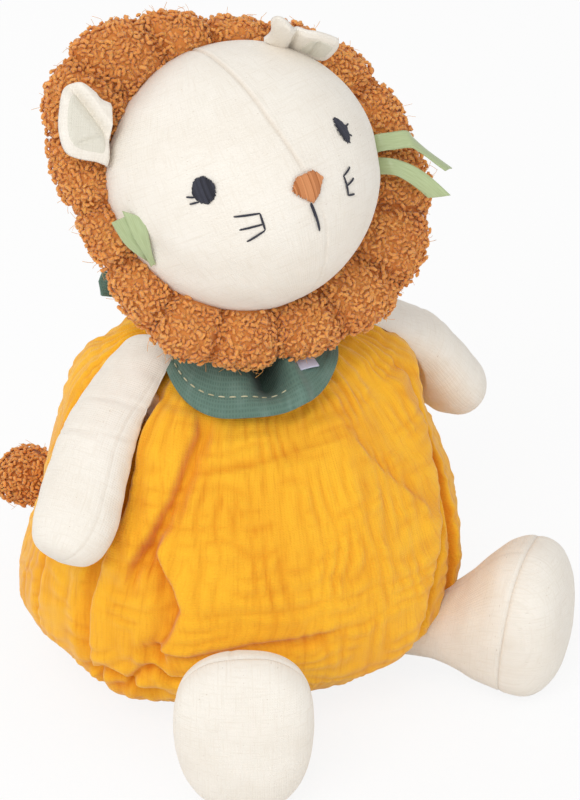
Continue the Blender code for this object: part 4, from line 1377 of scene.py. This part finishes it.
@dataclass(frozen=True)
class Romper:
    """Balloon of crinkled gauze from a flat seat to a gathered neckline."""

    width: float = 0.162
    depth: float = 0.156
    height: float = 0.129
    # Rows and columns of the cloth's grid, and the share where it starts at the seat
    cells: tuple = (184, 536)
    start: float = 0.01
    fold: float = 0.0028
    sag: Swell = Swell(0.016, 20.1, 0.0010, 0.6)
    # Length of the cloth from the seat's centre to the neckline
    run: float = 0.19
    crinkle_lines: int = 80
    row_pitch: float = 0.0056
    line_rise: float = 0.00062
    row_rise: float = 0.00068
    # Wandering of the upright lines and of the rows, in turns
    wander: Swell = Swell(0.013, 1.7, 0.8, 0.60)
    row_wander: Swell = Swell(0.014, 9.3, 0.8)
    # Where the upright lines are weak, and where the rows break off
    patches: Swell = Swell(0.011, 12.5, 1.0, 0.65)
    breaks: Swell = Swell(0.010, 31.0, 1.0)
    pucker: Swell = Swell(0.0046, 5.5, 0.00022)
    gathers: int = 34
    gather_rise: float = 0.0008
    # Radius and height shares, from the seat's centre to the neckline
    profile: tuple = (
        (0.00, 0.00), (0.20, 0.00), (0.40, 0.00), (0.63, 0.035), (0.825, 0.10), (0.95, 0.19),
        (0.99, 0.30), (0.97, 0.43), (0.90, 0.57), (0.80, 0.71), (0.68, 0.84), (0.52, 0.95),
        (0.31, 1.00),
    )
    fold_lines: tuple = (
        edge(((-156, 112), (-157, 108), (-157, 98), (-158, 84), (-160, 70), (-162, 60),
              (-163, 51), (-163, 42), (-163, 30), (-162, 18), (-160, 6)),
             4.6, 2.0, 12.0, overhang=0.25),
        edge(((-141, 110), (-143, 104), (-146, 91), (-150, 80), (-154, 68)),
             4.2, 2.0, 7.0, raised_side=-1, overhang=0.5, shade=0.6),
        edge(((-145, 74), (-140, 63), (-138, 56), (-140, 48), (-142, 40)),
             4.0, 2.4, 10.0, overhang=0.5, shade=0.9),
        edge(((-44, 106), (-50, 95), (-56, 84), (-59, 74), (-67, 57), (-71, 49), (-74, 41),
              (-76, 32), (-78, 24)), 4.6, 1.8, 12.0, raised_side=-1),
        Fold(((-165, 22), (-160, 28), (-155, 26), (-150, 20)), FoldShape.CREASE, 3.4, 2.4,
             upright=False),
        Fold(((-155, 22), (-150, 31), (-146, 33), (-142, 28)), FoldShape.CREASE, 2.6, 2.0,
             upright=False),
        edge(((-143, 42), (-136, 40), (-131, 41), (-121, 44), (-105, 45)),
             2.0, 1.6, 8.0, upright=False, shade=0.6),
        edge(((-136, 99), (-125, 101), (-108, 104), (-90, 105)),
             0.5, 1.0, 8.0, upright=False, raised_side=-1, shade=0.4),
        edge(((-84, 108), (-80, 98), (-72, 84), (-66, 74)),
             0.8, 1.8, 8.0, raised_side=-1, shade=0.3),
        edge(((-42, 107), (-46, 84), (-51, 62), (-55, 44), (-57, 28)), 2.4, 2.0, 9.0),
        edge(((130, 110), (136, 84), (142, 52), (146, 24)), 3.6, 2.2, 12.0),
        edge(((92, 108), (86, 82), (84, 60)), 2.6, 2.4, 12.0, raised_side=-1),
        edge(((60, 112), (54, 82), (50, 50), (52, 24)), 3.8, 2.2, 12.0, raised_side=-1),
        edge(((20, 110), (24, 84), (22, 52), (26, 26)), 2.8, 2.4, 12.0),
        edge(((-14, 110), (-12, 80), (-18, 50), (-16, 24)), 3.2, 2.2, 12.0),
        edge(((168, 104), (172, 80), (176, 54), (174, 30)), 2.6, 2.2, 10.0),
    )
    # Angle in degrees, height, lift, and reach round (degrees) and up, in millimetres
    puffs: tuple = (
        (-36.0, 112.0, 4.5, 20.0, 13.0), (144.0, 112.0, 3.5, 22.0, 13.0),
        (150.0, 20.0, 2.6, 34.0, 13.0), (-154.0, 108.0, 3.4, 13.0, 11.0),
        (-156.0, 84.0, -2.4, 22.0, 24.0), (142.0, 60.0, -6.0, 28.0, 24.0),
        (-16.0, 112.0, 4.0, 20.0, 13.0), (-122.0, 74.0, 1.6, 30.0, 20.0),
        (-84.0, 66.0, 1.2, 24.0, 22.0),
    )

    def at(self, share: Array, angle: Array) -> Array:
        """Places on the smooth outer face, by the share of the run and the angle round it."""
        wide, rise = np.moveaxis(on_curve(self.profile, share), -1, 0)
        return oval(np.maximum(0.0, wide * self.width / 2),
                    np.maximum(0.0, wide * self.depth / 2), angle,
                    np.maximum(0.0, rise) * self.height)

    def normal(self, share: Array, angle: Array) -> Array:
        """Outward directions of the smooth romper."""
        step = 0.01
        rise = self.at(share + step, angle) - self.at(share - step, angle)
        turn = self.at(share, angle + step) - self.at(share, angle - step)
        return unit(np.cross(turn, rise))

    def crinkle(self, angle: Array, share: Array, points: Array) -> tuple[Array, Array]:
        """Lines of the washed gauze.

        Args:
            angle: angles round the romper.
            share: how far up from the seat centre.
            points: places on the smooth form, for the lines' wandering.

        Returns:
            Height in metres and groove share of each point, which is painted as shade.
        """
        def wave(turns: Array) -> Array:
            """Wave from 0 to 1 that repeats with each turn."""
            return 0.5 - 0.5 * np.cos(2 * math.pi * turns)

        upright = wave(self.crinkle_lines * angle / (2 * math.pi) + self.wander.on(points))
        level = wave(share * self.run / self.row_pitch + self.row_wander.on(points))
        weak = 0.20 + 0.80 * smooth(self.patches.on(points), -0.40, 0.40)
        broken = smooth(self.breaks.on(points), -0.35, 0.25)
        height = upright * self.line_rise * weak + level * self.row_rise * broken
        height += self.pucker.on(points)
        groove = (1 - upright) ** 2.2 * weak
        return height, np.maximum(groove, (1 - level) ** 3 * 0.72 * broken)

    def build(self) -> None:
        """Build the romper."""
        share, angle = grid(*self.cells, self.start)
        base = self.at(share, angle)
        degrees, height_mm = np.degrees(angle), base[..., 2] / MM
        wide_share, up_share = np.moveaxis(on_curve(self.profile, share), -1, 0)
        grow = np.clip(up_share / 0.10, 0.0, 1.0)
        wide = noise_at(oval(2.1, 2.1, angle, share * 1.1), 1.0, 4.4)
        drape = self.fold * (0.4 + 0.7 * wide)
        drape += self.sag.on(base)
        radius_mm = wide_share * self.width / 2 / MM
        moves = [line.lift(degrees, height_mm, radius_mm) for line in self.fold_lines]
        lines = sum(move[0] for move in moves) * MM
        shift = sum(move[1] for move in moves) / np.maximum(radius_mm, 20.0)
        groove = np.max([move[2] for move in moves], axis=0)
        for centre, height, rise, reach, tall in self.puffs:
            off = within_turn(degrees - centre)
            lines = lines + rise * MM * bell(off, reach) * bell(height_mm - height, tall)
        # Gathers fan out under the neckline
        pleats = np.cos(angle * self.gathers + 2.2 * np.sin(angle * 5)) * self.gather_rise
        pleats = pleats * smooth(share, 0.78, 0.97)
        crinkle, hollow = self.crinkle(angle, share, base)
        lift = (drape + lines + pleats) * grow + (crinkle - 0.0006) * smooth(share, 0.1, 0.3)
        turned = angle + shift * grow
        points = self.at(share, turned) + self.normal(share, turned) * lift[..., None]
        points[..., 2] = np.maximum(points[..., 2], 0.0)
        # Painted shade: the crinkle's and the folds' grooves darken the gauze
        clothe("romper_gauze", points, Matrix.Identity(4), "body", GAUZE, "romper",
               "body_cover", "body_filling", "pellet_bag", fill=0.6,
               hollow=np.clip(hollow * 0.45 + groove * grow, 0, 1))


@dataclass(frozen=True)
class Arm:
    """One arm: its side, its paw's place and how far its cover's top lies to the side."""

    side: str
    paw: tuple
    aside: float


@dataclass(frozen=True)
class Arms:
    """Stuffed linen arms that hang from the shoulders and lie on the body."""

    arms: tuple = (Arm("right", (-0.0845, -0.0235, 0.0865), -0.0032),
                   Arm("left", (0.0938, -0.0108, 0.0800), 0.0))
    # Rows and columns of the cover's grid, and the shares where it ends at the poles
    cells: tuple = (120, 110)
    poles: tuple = (0.012, 0.990)
    swells: tuple = (Swell(0.012, 6.0, 0.0005, 2.2), Swell(0.005, 2.0, 0.00014))
    shoulder: tuple = (0.0515, -0.0085, 0.1170)
    lean_deg: float = 42.0
    width: float = 0.031
    height: float = 0.026
    ball: float = 0.0105
    dome: float = 0.062
    dome_lift: float = 0.0028
    # Half width and half thickness shares, distance from the shoulder and rise in mm
    stations: tuple = (
        (0.00, 0.00, -25.0, -2.0), (0.62, 0.44, -23.5, -2.0), (0.86, 0.58, -17.0, -1.0),
        (0.95, 0.68, -8.5, 0.4), (0.97, 0.76, 1.5, 2.0), (0.95, 0.84, 12.0, 4.0),
        (0.96, 0.91, 23.0, 4.8), (1.01, 0.98, 35.0, 3.0), (1.03, 1.00, 45.0, 0.8),
        (0.95, 0.92, 53.5, 0.0), (0.66, 0.66, 59.8, 0.0), (0.00, 0.00, 62.3, 0.0),
    )
    # Distance from the shoulder, slant, depth and side (radians) of the creases
    creases: tuple = (
        (0.0165, 0.003, 0.0006, 1.2), (0.0225, -0.002, 0.0004, 2.0),
        (0.004, 0.002, 0.0006, 0.6), (0.0335, 0.002, 0.0003, 1.0),
    )
    crease_width: float = 0.0010
    # Side of the long seam, in radians
    seam_turn: float = 0.35
    seam_width: float = 0.0006
    seam_depth: float = 0.0003
    seam_shade: float = 0.18

    def frame(self, arm: Arm) -> Matrix:
        """Placement of an arm: local Z from shoulder to paw, local Y away from the body."""
        sign = SIDES[arm.side]
        shoulder = Vector(self.shoulder)
        shoulder.x *= sign
        lean = math.radians(self.lean_deg)
        away = Vector((sign * math.cos(lean), 0.0, math.sin(lean)))
        return placement(shoulder, Vector(arm.paw) - shoulder, away)

    def at(self, arm: Arm, share: Array, angle: Array) -> Array:
        """Places on an arm, kept off the dome that the body makes round the shoulder."""
        wide, high, along, raised = np.moveaxis(on_curve(self.stations, share), -1, 0)
        points = oval(np.maximum(0.0, wide) * self.width / 2,
                      np.maximum(0.0, high) * self.height / 2, angle, along * MM)
        points[..., 1] += raised * MM
        points[..., 0] += arm.aside * (1 - smooth(points[..., 2], 0.0, 0.036))
        reach = np.hypot(points[..., 0], points[..., 2])
        drop = self.dome - np.sqrt(np.maximum(0.0, self.dome ** 2 - reach ** 2))
        outside = np.linalg.norm(points, axis=-1) > self.ball
        floor = np.where(outside, self.dome_lift - drop, points[..., 1])
        points[..., 1] = np.maximum(points[..., 1], floor)
        return points

    def build(self) -> None:
        """Build both arms."""
        share, angle = grid(*self.cells, *self.poles)
        for arm in self.arms:
            frame, body = self.frame(arm), f"arm_{arm.side}"
            points = self.at(arm, share, angle)
            lift = sum(swell.on(points) for swell in self.swells)
            for place, tilt, depth, turn in self.creases:
                off = points[..., 2] - place - tilt * np.sin(angle)
                facing = smooth(np.cos(angle - turn), -0.2, 0.6)
                lift -= bell(off, self.crease_width) * depth * facing
            seam = bell((angle - self.seam_turn) * self.width / 2, self.seam_width)
            seam = seam * smooth(share, 0.2, 0.35)
            lift -= seam * self.seam_depth
            piece = clothe(f"{body}_linen", points + outward(points) * lift[..., None], frame,
                           body, LINEN, body, f"arm_filling_{arm.side}", fill=0.8,
                           hollow=seam * self.seam_shade)
            piece.parent = None
            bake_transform(piece)


@dataclass(frozen=True)
class Legs:
    """Short stuffed legs with a large foot and a sewn sole."""

    leg_rows: int = 110
    sole_rows: int = 60
    columns: int = 150
    swell: Swell = Swell(0.015, 3.0, 0.0008)
    fine: Swell = Swell(0.005, 7.0, 0.00014)
    foot_width: float = 0.047
    foot_height: float = 0.058
    rise: float = 0.0093
    full: float = 0.040
    tip: float = 0.0560
    blunt: float = 2.5
    seam: float = 0.0372
    seam_tilt: float = 0.0032
    seam_width: float = 0.0008
    seam_depth: float = 0.00036
    seam_shade: float = 0.15
    side_seam_width: float = 0.0006
    # Mean radius of the leg, which turns the side seams' angles into lengths
    girth: float = 0.02
    side_seams_deg: tuple = (-62.0, 100.0)
    splay_deg: float = 34.5
    hip: tuple = (0.0390, -0.0570, 0.0200)
    # Distance from the hip in millimetres, width and height shares, rise share
    stations: tuple = (
        (-16.0, 0.20, 0.16, 0.0), (-14.0, 0.42, 0.33, 0.0), (-9.0, 0.60, 0.47, 0.0),
        (0.0, 0.61, 0.47, 0.0), (9.0, 0.63, 0.49, 0.04), (17.0, 0.71, 0.61, 0.30),
        (24.0, 0.83, 0.78, 0.62), (31.0, 0.94, 0.93, 0.90), (37.0, 0.99, 0.99, 1.0),
        (43.0, 1.0, 1.0, 1.0), (60.0, 1.0, 1.0, 1.0),
    )

    def frame(self, side: str) -> Matrix:
        """Placement of a leg: local Z along it and local Y up, from the hip."""
        splay = math.radians(self.splay_deg * SIDES[side])
        along = Vector((math.sin(splay), -math.cos(splay), 0.0))
        return placement((self.hip[0] * SIDES[side], *self.hip[1:]), along, UP)

    def past_full(self, beyond: Array) -> Array:
        """How far into the rounding of the toes a distance from the hip lies, 0 to 1."""
        return np.clip((beyond - self.full) / (self.tip - self.full), 0.0, 1.0)

    def at(self, beyond: Array, angle: Array) -> Array:
        """Places in the leg's own frame, by distance from the hip and angle round it."""
        table = on_curve(self.stations, np.linspace(0, 1, 400))
        wide, high, raised = (
            np.interp(beyond / MM, table[:, 0], table[:, k]) for k in (1, 2, 3))
        raised_share = np.clip(raised, 0.0, 1.0)
        round_off = (1 - self.past_full(beyond) ** self.blunt) ** (1 / self.blunt)
        # The foot's section is a little squarer than an oval
        section = (np.abs(np.cos(angle)) ** 2.5 + np.abs(np.sin(angle)) ** 2.5) ** (-1 / 2.5)
        round_off = round_off * (1 + (section - 1) * raised_share)
        taper = 1 + 0.07 * np.sin(angle) * raised_share
        points = oval(wide * taper * round_off * self.foot_width / 2,
                      high * round_off * self.foot_height / 2, angle, beyond)
        points[..., 1] += raised * self.rise
        return points

    def build_part(self, side: str, part: str, share: Array, angle: Array,
                   ends: tuple, *nodes: str, **how: object) -> None:
        """Build the part of a leg between two distances from the hip.

        Args:
            side: which leg.
            part: the piece's name without its side and cloth.
            share: shares from the low to the high end.
            angle: angles round the leg.
            ends: where it starts and ends.
            nodes: solids that it stands for.
            how: further settings of the patch.
        """
        beyond = ends[0] + (ends[1] - ends[0]) * share
        past = np.minimum(self.past_full(beyond), 0.99999)
        reached = self.full + past * (self.tip - self.full)
        points = self.at(np.where(beyond > self.full, reached, beyond), angle)
        middle = np.array([0.0, 1.0, 0.0]) * points.mean(1, keepdims=True)
        out = points - middle - np.array([0.0, 0.0, 1.0]) * np.minimum(points, self.full)
        out /= np.maximum(np.linalg.norm(out, axis=-1, keepdims=True), 1e-6)
        lift = self.swell.on(points, SIDES[side]) + self.fine.on(points)
        line = self.seam_line(angle)
        seam = bell(beyond - line, self.seam_width)
        for place in self.side_seams_deg:
            off = (angle - math.radians(place)) * self.girth
            side_seam = bell(off, self.side_seam_width)
            seam = np.maximum(seam, side_seam * (beyond < line) * smooth(beyond, 0.0, 0.01))
        points = points + out * (lift - seam * self.seam_depth)[..., None]
        if part == "sole":
            how["flat"] = points[..., :2]
        clothe(f"{part}_{side}_linen", points, self.frame(side), f"leg_{side}", LINEN, *nodes,
               fill=0.9, hollow=seam * self.seam_shade, **how)

    def seam_line(self, angle: Array) -> Array:
        """Distance from the hip to the sole's seam, further out over the toes."""
        return self.seam + self.seam_tilt * np.sin(angle)

    def build(self) -> None:
        """Build both legs, each a cover and a sole that meet at a seam."""
        for side in SIDES:
            share, angle = grid(self.leg_rows, self.columns)
            self.build_part(side, "leg", share, angle, (-0.0155, self.seam_line(angle)),
                            f"leg_{side}", f"leg_filling_{side}")
            share, angle = grid(self.sole_rows, self.columns)
            share = np.sin(share * math.pi / 2) ** 0.9
            self.build_part(side, "sole", share, angle, (self.seam_line(angle), self.tip),
                            f"sole_{side}")


@dataclass(frozen=True)
class Tail:
    """Thin linen tail with a boucle tuft."""

    # Rows and columns of the grids, and the shares where they end at the poles
    cells: tuple = (60, 48)
    tuft_cells: tuple = (40, 60)
    poles: tuple = (0.02, 0.98)
    swell: Swell = Swell(0.006, 2.0, 0.04)
    root: tuple = (-0.004, 0.0828, 0.0378)
    tuft: tuple = (-0.042, 0.0965, 0.0368)
    thickness: float = 0.009
    tuft_length: float = 0.032
    tuft_width: float = 0.023
    tuft_bite: float = 0.006
    # Share of the tuft, next to the stem, that no loops stand on
    bare: float = 0.12
    pile: float = 0.0016

    def build(self) -> None:
        """Build the tail and its tuft."""
        along = Vector(self.tuft) - Vector(self.root)
        frame = placement(self.root, along, UP)
        stem = along.length - self.tuft_length / 2
        thick = self.thickness / 2
        share, angle = grid(*self.cells, *self.poles)
        beyond = (1 - np.cos(math.pi * share)) / 2 * (stem + thick)
        inside = np.maximum(np.maximum(0, 1 - beyond / thick), 1 - (stem + thick - beyond) / thick)
        radius = thick * np.sqrt(1 - np.minimum(inside, 1.0) ** 2)
        points = oval(radius, radius, angle, beyond - thick)
        points[..., :2] *= (1 + self.swell.on(points))[..., None]
        # A line along one side of the tail is painted with the seam shade colour, with no groove
        # in the cloth
        clothe("tail_linen", points, frame, "tail", LINEN, "tail", fill=0.7,
               hollow=bell((angle - 1.2) * thick, 0.0005) * 0.3)

        share, angle = grid(*self.tuft_cells, *self.poles)
        swell = np.sin(math.pi * share) ** 0.8 * (1 - 0.25 * (share - 0.5))
        radius = np.maximum(self.tuft_width / 2 * swell - self.pile, 0.0003)
        start = stem - self.tuft_bite
        points = placed(oval(radius, radius, angle, start + self.tuft_length * share), frame)
        fabric = Fabric("tail_tuft_boucle")
        # The tuft's backing is painted darker as shade
        fabric.lay(points, capped=True, hollow=0.8, tone=0.6)
        BoucleLoops(seed=19).cover((fabric,), points, outward(points), share > self.bare,
                                   np.zeros(share.shape))
        dress(fabric, "tail", BOUCLE, "tail_tuft", fill=0.6)


@dataclass(frozen=True)
class Neckerchief:
    """Folded canvas kerchief with a running stitch, its knot, ends and a blank tab."""

    romper: Romper
    # Rows and columns of each part's grid, and the shares where the knot's ends
    cells: tuple = (48, 560)
    knot_cells: tuple = (40, 60)
    knot_poles: tuple = (0.02, 0.98)
    end_cells: tuple = (41, 31)
    tab_cells: tuple = (13, 25)
    ripple: Swell = Swell(0.010, 3.3, 0.0006)
    # Falls in front and behind, as shares of the romper's run
    fall: float = 0.137
    back: float = 0.040
    lowest_deg: float = -122.0
    reach_deg: tuple = (38.0, 50.0)
    lift: float = 0.0016
    collar: float = 0.003
    thickness: float = 0.0012
    hem_rise: float = 0.0004
    stitch_line: float = 0.80
    stitch_pitch: float = 0.0040
    stitch: float = 0.0022
    stitch_radius: float = 0.00027
    # The folded lip in front hides the stitches between these angles
    hidden_deg: tuple = (-108.0, -66.0)
    knot_deg: float = 128.0
    knot_half: tuple = (0.0065, 0.0050, 0.0045)
    # Side, direction, width and length
    ends: tuple = (("right", (-0.88, 0.03, 0.47), 0.0090, 0.0195),
                   ("left", (0.40, 0.80, -0.26), 0.0130, 0.0260))
    tab_size: tuple = (0.0094, 0.0046, 0.0006)

    def at(self, across: Array, angle: Array, lift: Array | float = 0.0) -> Array:
        """Places on the kerchief.

        Args:
            across: shares from collar to hem.
            angle: angles round the neck, in radians.
            lift: further distance from the romper.

        Returns:
            The places.
        """
        degrees = within_turn(np.degrees(angle))
        past = degrees - self.lowest_deg
        reach = np.where(past < 0, *self.reach_deg)
        fall = self.back + (self.fall - self.back) * np.exp(-(np.abs(past) / reach) ** 2.6)
        share = 1 - fall * across
        front = bell(degrees + 110, 30.0)
        ridge = bell(degrees + 105.0 - 2.5 * across, 3.6) * smooth(across, 0.0, 0.2)
        hollow = bell(degrees + 114.5 - 3.0 * across, 6.5) * (1 - smooth(across, 0.66, 0.94))
        cup = bell(degrees + 121.0, 9.0) * smooth(across, 0.5, 1.0)
        stand = (self.lift + self.romper.fold * 0.55 + 0.0004
                 + front * 0.0066 * (0.35 + 0.65 * across)
                 + ridge * 0.0076 * (1 - 0.45 * across) - hollow * 0.0094 + cup * 0.0022)
        out = self.romper.normal(np.minimum(share, 0.985), angle)
        point = self.romper.at(share, angle) + out * (stand + lift)[..., None]
        collar = (1 - across) ** 3 * self.collar
        return point + oval(-0.2 * collar, -0.2 * collar, angle, collar)

    def build_scarf(self) -> Piece:
        """Build the folded kerchief."""
        across, angle = grid(*self.cells)
        hem = smooth(across, self.stitch_line, 0.84) * self.hem_rise
        ripple = self.ripple.on(self.at(across, angle))
        points = self.at(across, angle, hem + ripple + self.thickness / 2)
        # Painted shade in the hollow beside the folded ridge in front, where the ridge shades the
        # cloth
        painted_hollow_shade = np.minimum(1.0, 1.5 * bell(np.degrees(angle) + 113.5 - 3.0 * across, 7.0)
                          * (1 - smooth(across, 0.58, 0.90)))
        painted_hollow_shade = np.concatenate([painted_hollow_shade, painted_hollow_shade[-1:], painted_hollow_shade[::-1], painted_hollow_shade[:1]])
        fabric = Fabric("neckerchief_canvas")
        fabric.lay(doubled(points, self.thickness, True), along=True, hollow=painted_hollow_shade)
        return dress(fabric, "body", CANVAS, "neckerchief")

    def build_stitches(self) -> Piece:
        """Build the running stitch inside the hem."""
        fabric = Fabric("neckerchief_running_stitch")
        angle = np.linspace(-math.pi, math.pi, 4000)
        line = self.at(np.full_like(angle, self.stitch_line), angle, self.thickness + 0.0002)
        walked = np.concatenate([[0], np.cumsum(np.linalg.norm(np.diff(line, axis=0), axis=1))])
        bow = np.sin(np.linspace(0, math.pi, 8)) ** 0.5
        # The tube's widest side turns away from a place under the collar
        under = np.array([0, 0, 0.06])
        first, last = self.hidden_deg
        for k in range(int(walked[-1] / self.stitch_pitch)):
            start = k * self.stitch_pitch
            turn = np.interp(np.linspace(start, start + self.stitch, 8), walked, angle)
            if first < math.degrees(turn[0]) < last:
                continue
            path = self.at(np.full_like(turn, self.stitch_line), turn,
                           self.thickness + 0.0003 + bow * 0.0003)
            ring = tube(path - under, self.stitch_radius * (0.6 + 0.4 * bow), 6)
            fabric.lay(ring + under, capped=True, tone=(k % 5) / 5)
        return dress(fabric, "body", HEM_THREAD)

    def build_knot(self) -> None:
        """Build the knot and the two ends behind."""
        angle = math.radians(self.knot_deg)
        wide, deep, high = self.knot_half
        outer = Vector(self.at(np.array(0.0), np.array(angle)))
        away = Vector((math.cos(angle), math.sin(angle), 0.0))
        middle = outer + away * (high + 0.0033 + self.thickness)
        share, turn = grid(*self.knot_cells, *self.knot_poles)
        wrap = 1 + 0.10 * np.cos(3 * turn + 5 * share) + 0.05 * np.cos(7 * turn)
        reach = np.sin(math.pi * share) * wrap
        points = oval(reach * wide, reach * deep, turn, -np.cos(math.pi * share) * high)
        clothe("kerchief_knot_canvas", points, placement(middle, away, UP), "body", CANVAS,
               "kerchief_knot", fill=0.5)
        across, along = strip(*self.end_cells)
        for side, way, end_width, length in self.ends:
            way = Vector(way).normalized()
            tip = 1 - 0.28 * np.abs(across) * smooth(along, 0.6, 1.0)
            fold = np.abs(across) * end_width * 0.4 + 0.0006 * np.sin(along * 7 + across * 4)
            points = np.stack([across * end_width * (0.45 + 0.55 * along), fold,
                               along * length * tip], -1)
            end = flap(f"kerchief_end_{side}_canvas", points, self.thickness,
                       placement(middle + way * 0.0025, way, away), "body", CANVAS,
                       f"kerchief_end_{side}")

    def build_tab(self) -> Piece:
        """Build the small blank tab that is sewn to the kerchief."""
        angle = np.array(math.radians(-95.0))
        out = self.romper.normal(np.array(0.94), angle)
        frame = placement(Vector(self.at(np.array(0.655), angle, 0.0017)), Vector(out), UP)
        across, along = strip(*self.tab_cells, -0.5)
        wide, high, thickness = self.tab_size
        points = np.stack([across * wide, along * high, 0.0004 * np.cos(across * 3)], -1)
        return flap("hem_tab_ribbon", points, thickness, frame, "body", TAB_RIBBON, "hem_tab")

    def build(self) -> None:
        """Build the neckerchief and what is sewn or tied to it."""
        scarf = self.build_scarf()
        sewn_on = [self.build_stitches(), self.build_tab()]
        self.build_knot()


@dataclass(frozen=True)
class Studio:
    """Paper floor, soft lamps, pale surroundings and the camera."""

    azimuth_deg: float = -36.0
    elevation_deg: float = 27.0
    distance: float = 0.95
    metres_per_pixel: float = 0.00036
    aim_right: float = 0.018
    aim_height: float = 0.098
    floor_half: float = 6.0
    floor_drop: float = 0.0004
    sky: float = 0.66
    # Name, place, size and watts
    lamps: tuple = (
        ("key_lamp", (-1.20, -0.80, 1.30), 1.1, 14.5),
        ("fill_lamp", (0.8, -1.4, 0.25), 1.0, 3.4),
        ("back_lamp", (-0.3, 1.3, 1.2), 1.0, 4.0),
    )
    lamp_aim: tuple = (0.0, 0.0, 0.12)

    def add(self, name: str, data: object) -> Piece:
        """Put a new object into the scene."""
        made = bpy.data.objects.new(name, data)
        bpy.context.scene.collection.objects.link(made)
        return made

    def build_camera(self) -> None:
        """Build the camera at the photograph's viewing angle."""
        azimuth, elevation = math.radians(self.azimuth_deg), math.radians(self.elevation_deg)
        back = Vector((math.sin(azimuth) * math.cos(elevation),
                       -math.cos(azimuth) * math.cos(elevation), math.sin(elevation)))
        right = Vector((math.cos(azimuth), math.sin(azimuth), 0.0))
        data = bpy.data.cameras.new("camera")
        data.sensor_width = 36.0
        data.lens = self.distance / self.metres_per_pixel / FRAME_LONG_SIDE * data.sensor_width
        data.clip_start = 0.01
        camera = self.add("camera", data)
        camera.location = right * self.aim_right + UP * self.aim_height + back * self.distance
        camera.rotation_euler = back.to_track_quat("Z", "Y").to_euler()
        bpy.context.scene.camera = camera

    def build_floor(self) -> None:
        """Build the paper floor, a little under the lion."""
        half = self.floor_half
        mesh = bpy.data.meshes.new("floor")
        mesh.from_pydata([(-half, -half, 0), (half, -half, 0), (half, half, 0),
                          (-half, half, 0)], [], [(0, 1, 2, 3)])
        mesh.materials.append(PAPER.material())
        floor = self.add("floor", mesh)
        floor.location.z = -self.floor_drop

    def build_world(self) -> None:
        """Build the surroundings: white to the camera, paler grey as light."""
        world = bpy.data.worlds.new("studio")
        world.use_nodes = True
        tree = world.node_tree
        tree.nodes.clear()
        seen = tree.nodes.new("ShaderNodeLightPath").outputs["Is Camera Ray"]
        strength = add_node(tree, "Mix", {0: seen, 2: self.sky, 3: 1.0}, data_type="FLOAT")
        sky = add_node(tree, "Background", {"Color": (1, 1, 1, 1), "Strength": strength})
        add_node(tree, "OutputWorld", {"Surface": sky})
        bpy.context.scene.world = world

    def build(self) -> None:
        """Build the studio."""
        self.build_floor()
        self.build_world()
        for name, place, size, watts in self.lamps:
            data = bpy.data.lights.new(name, "AREA")
            data.size = size
            data.energy = watts
            lamp = self.add(name, data)
            lamp.location = place
            aim = Vector(self.lamp_aim) - Vector(place)
            lamp.rotation_euler = aim.to_track_quat("-Z", "Y").to_euler()
        self.build_camera()
        bpy.context.scene.view_settings.view_transform = "Standard"


def main() -> None:
    """Load the model and build every piece."""
    logging.basicConfig(level=logging.INFO, format="%(message)s")
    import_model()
    head = Head()
    romper = Romper()
    for assembly in (
        head, Mane(head), Ears(head), Ribbons(head), romper, Arms(), Legs(), Tail(),
        Neckerchief(romper), Studio(),
    ):
        assembly.build()
        log.info("built %s", type(assembly).__name__)


if __name__ == "__main__":
    main()
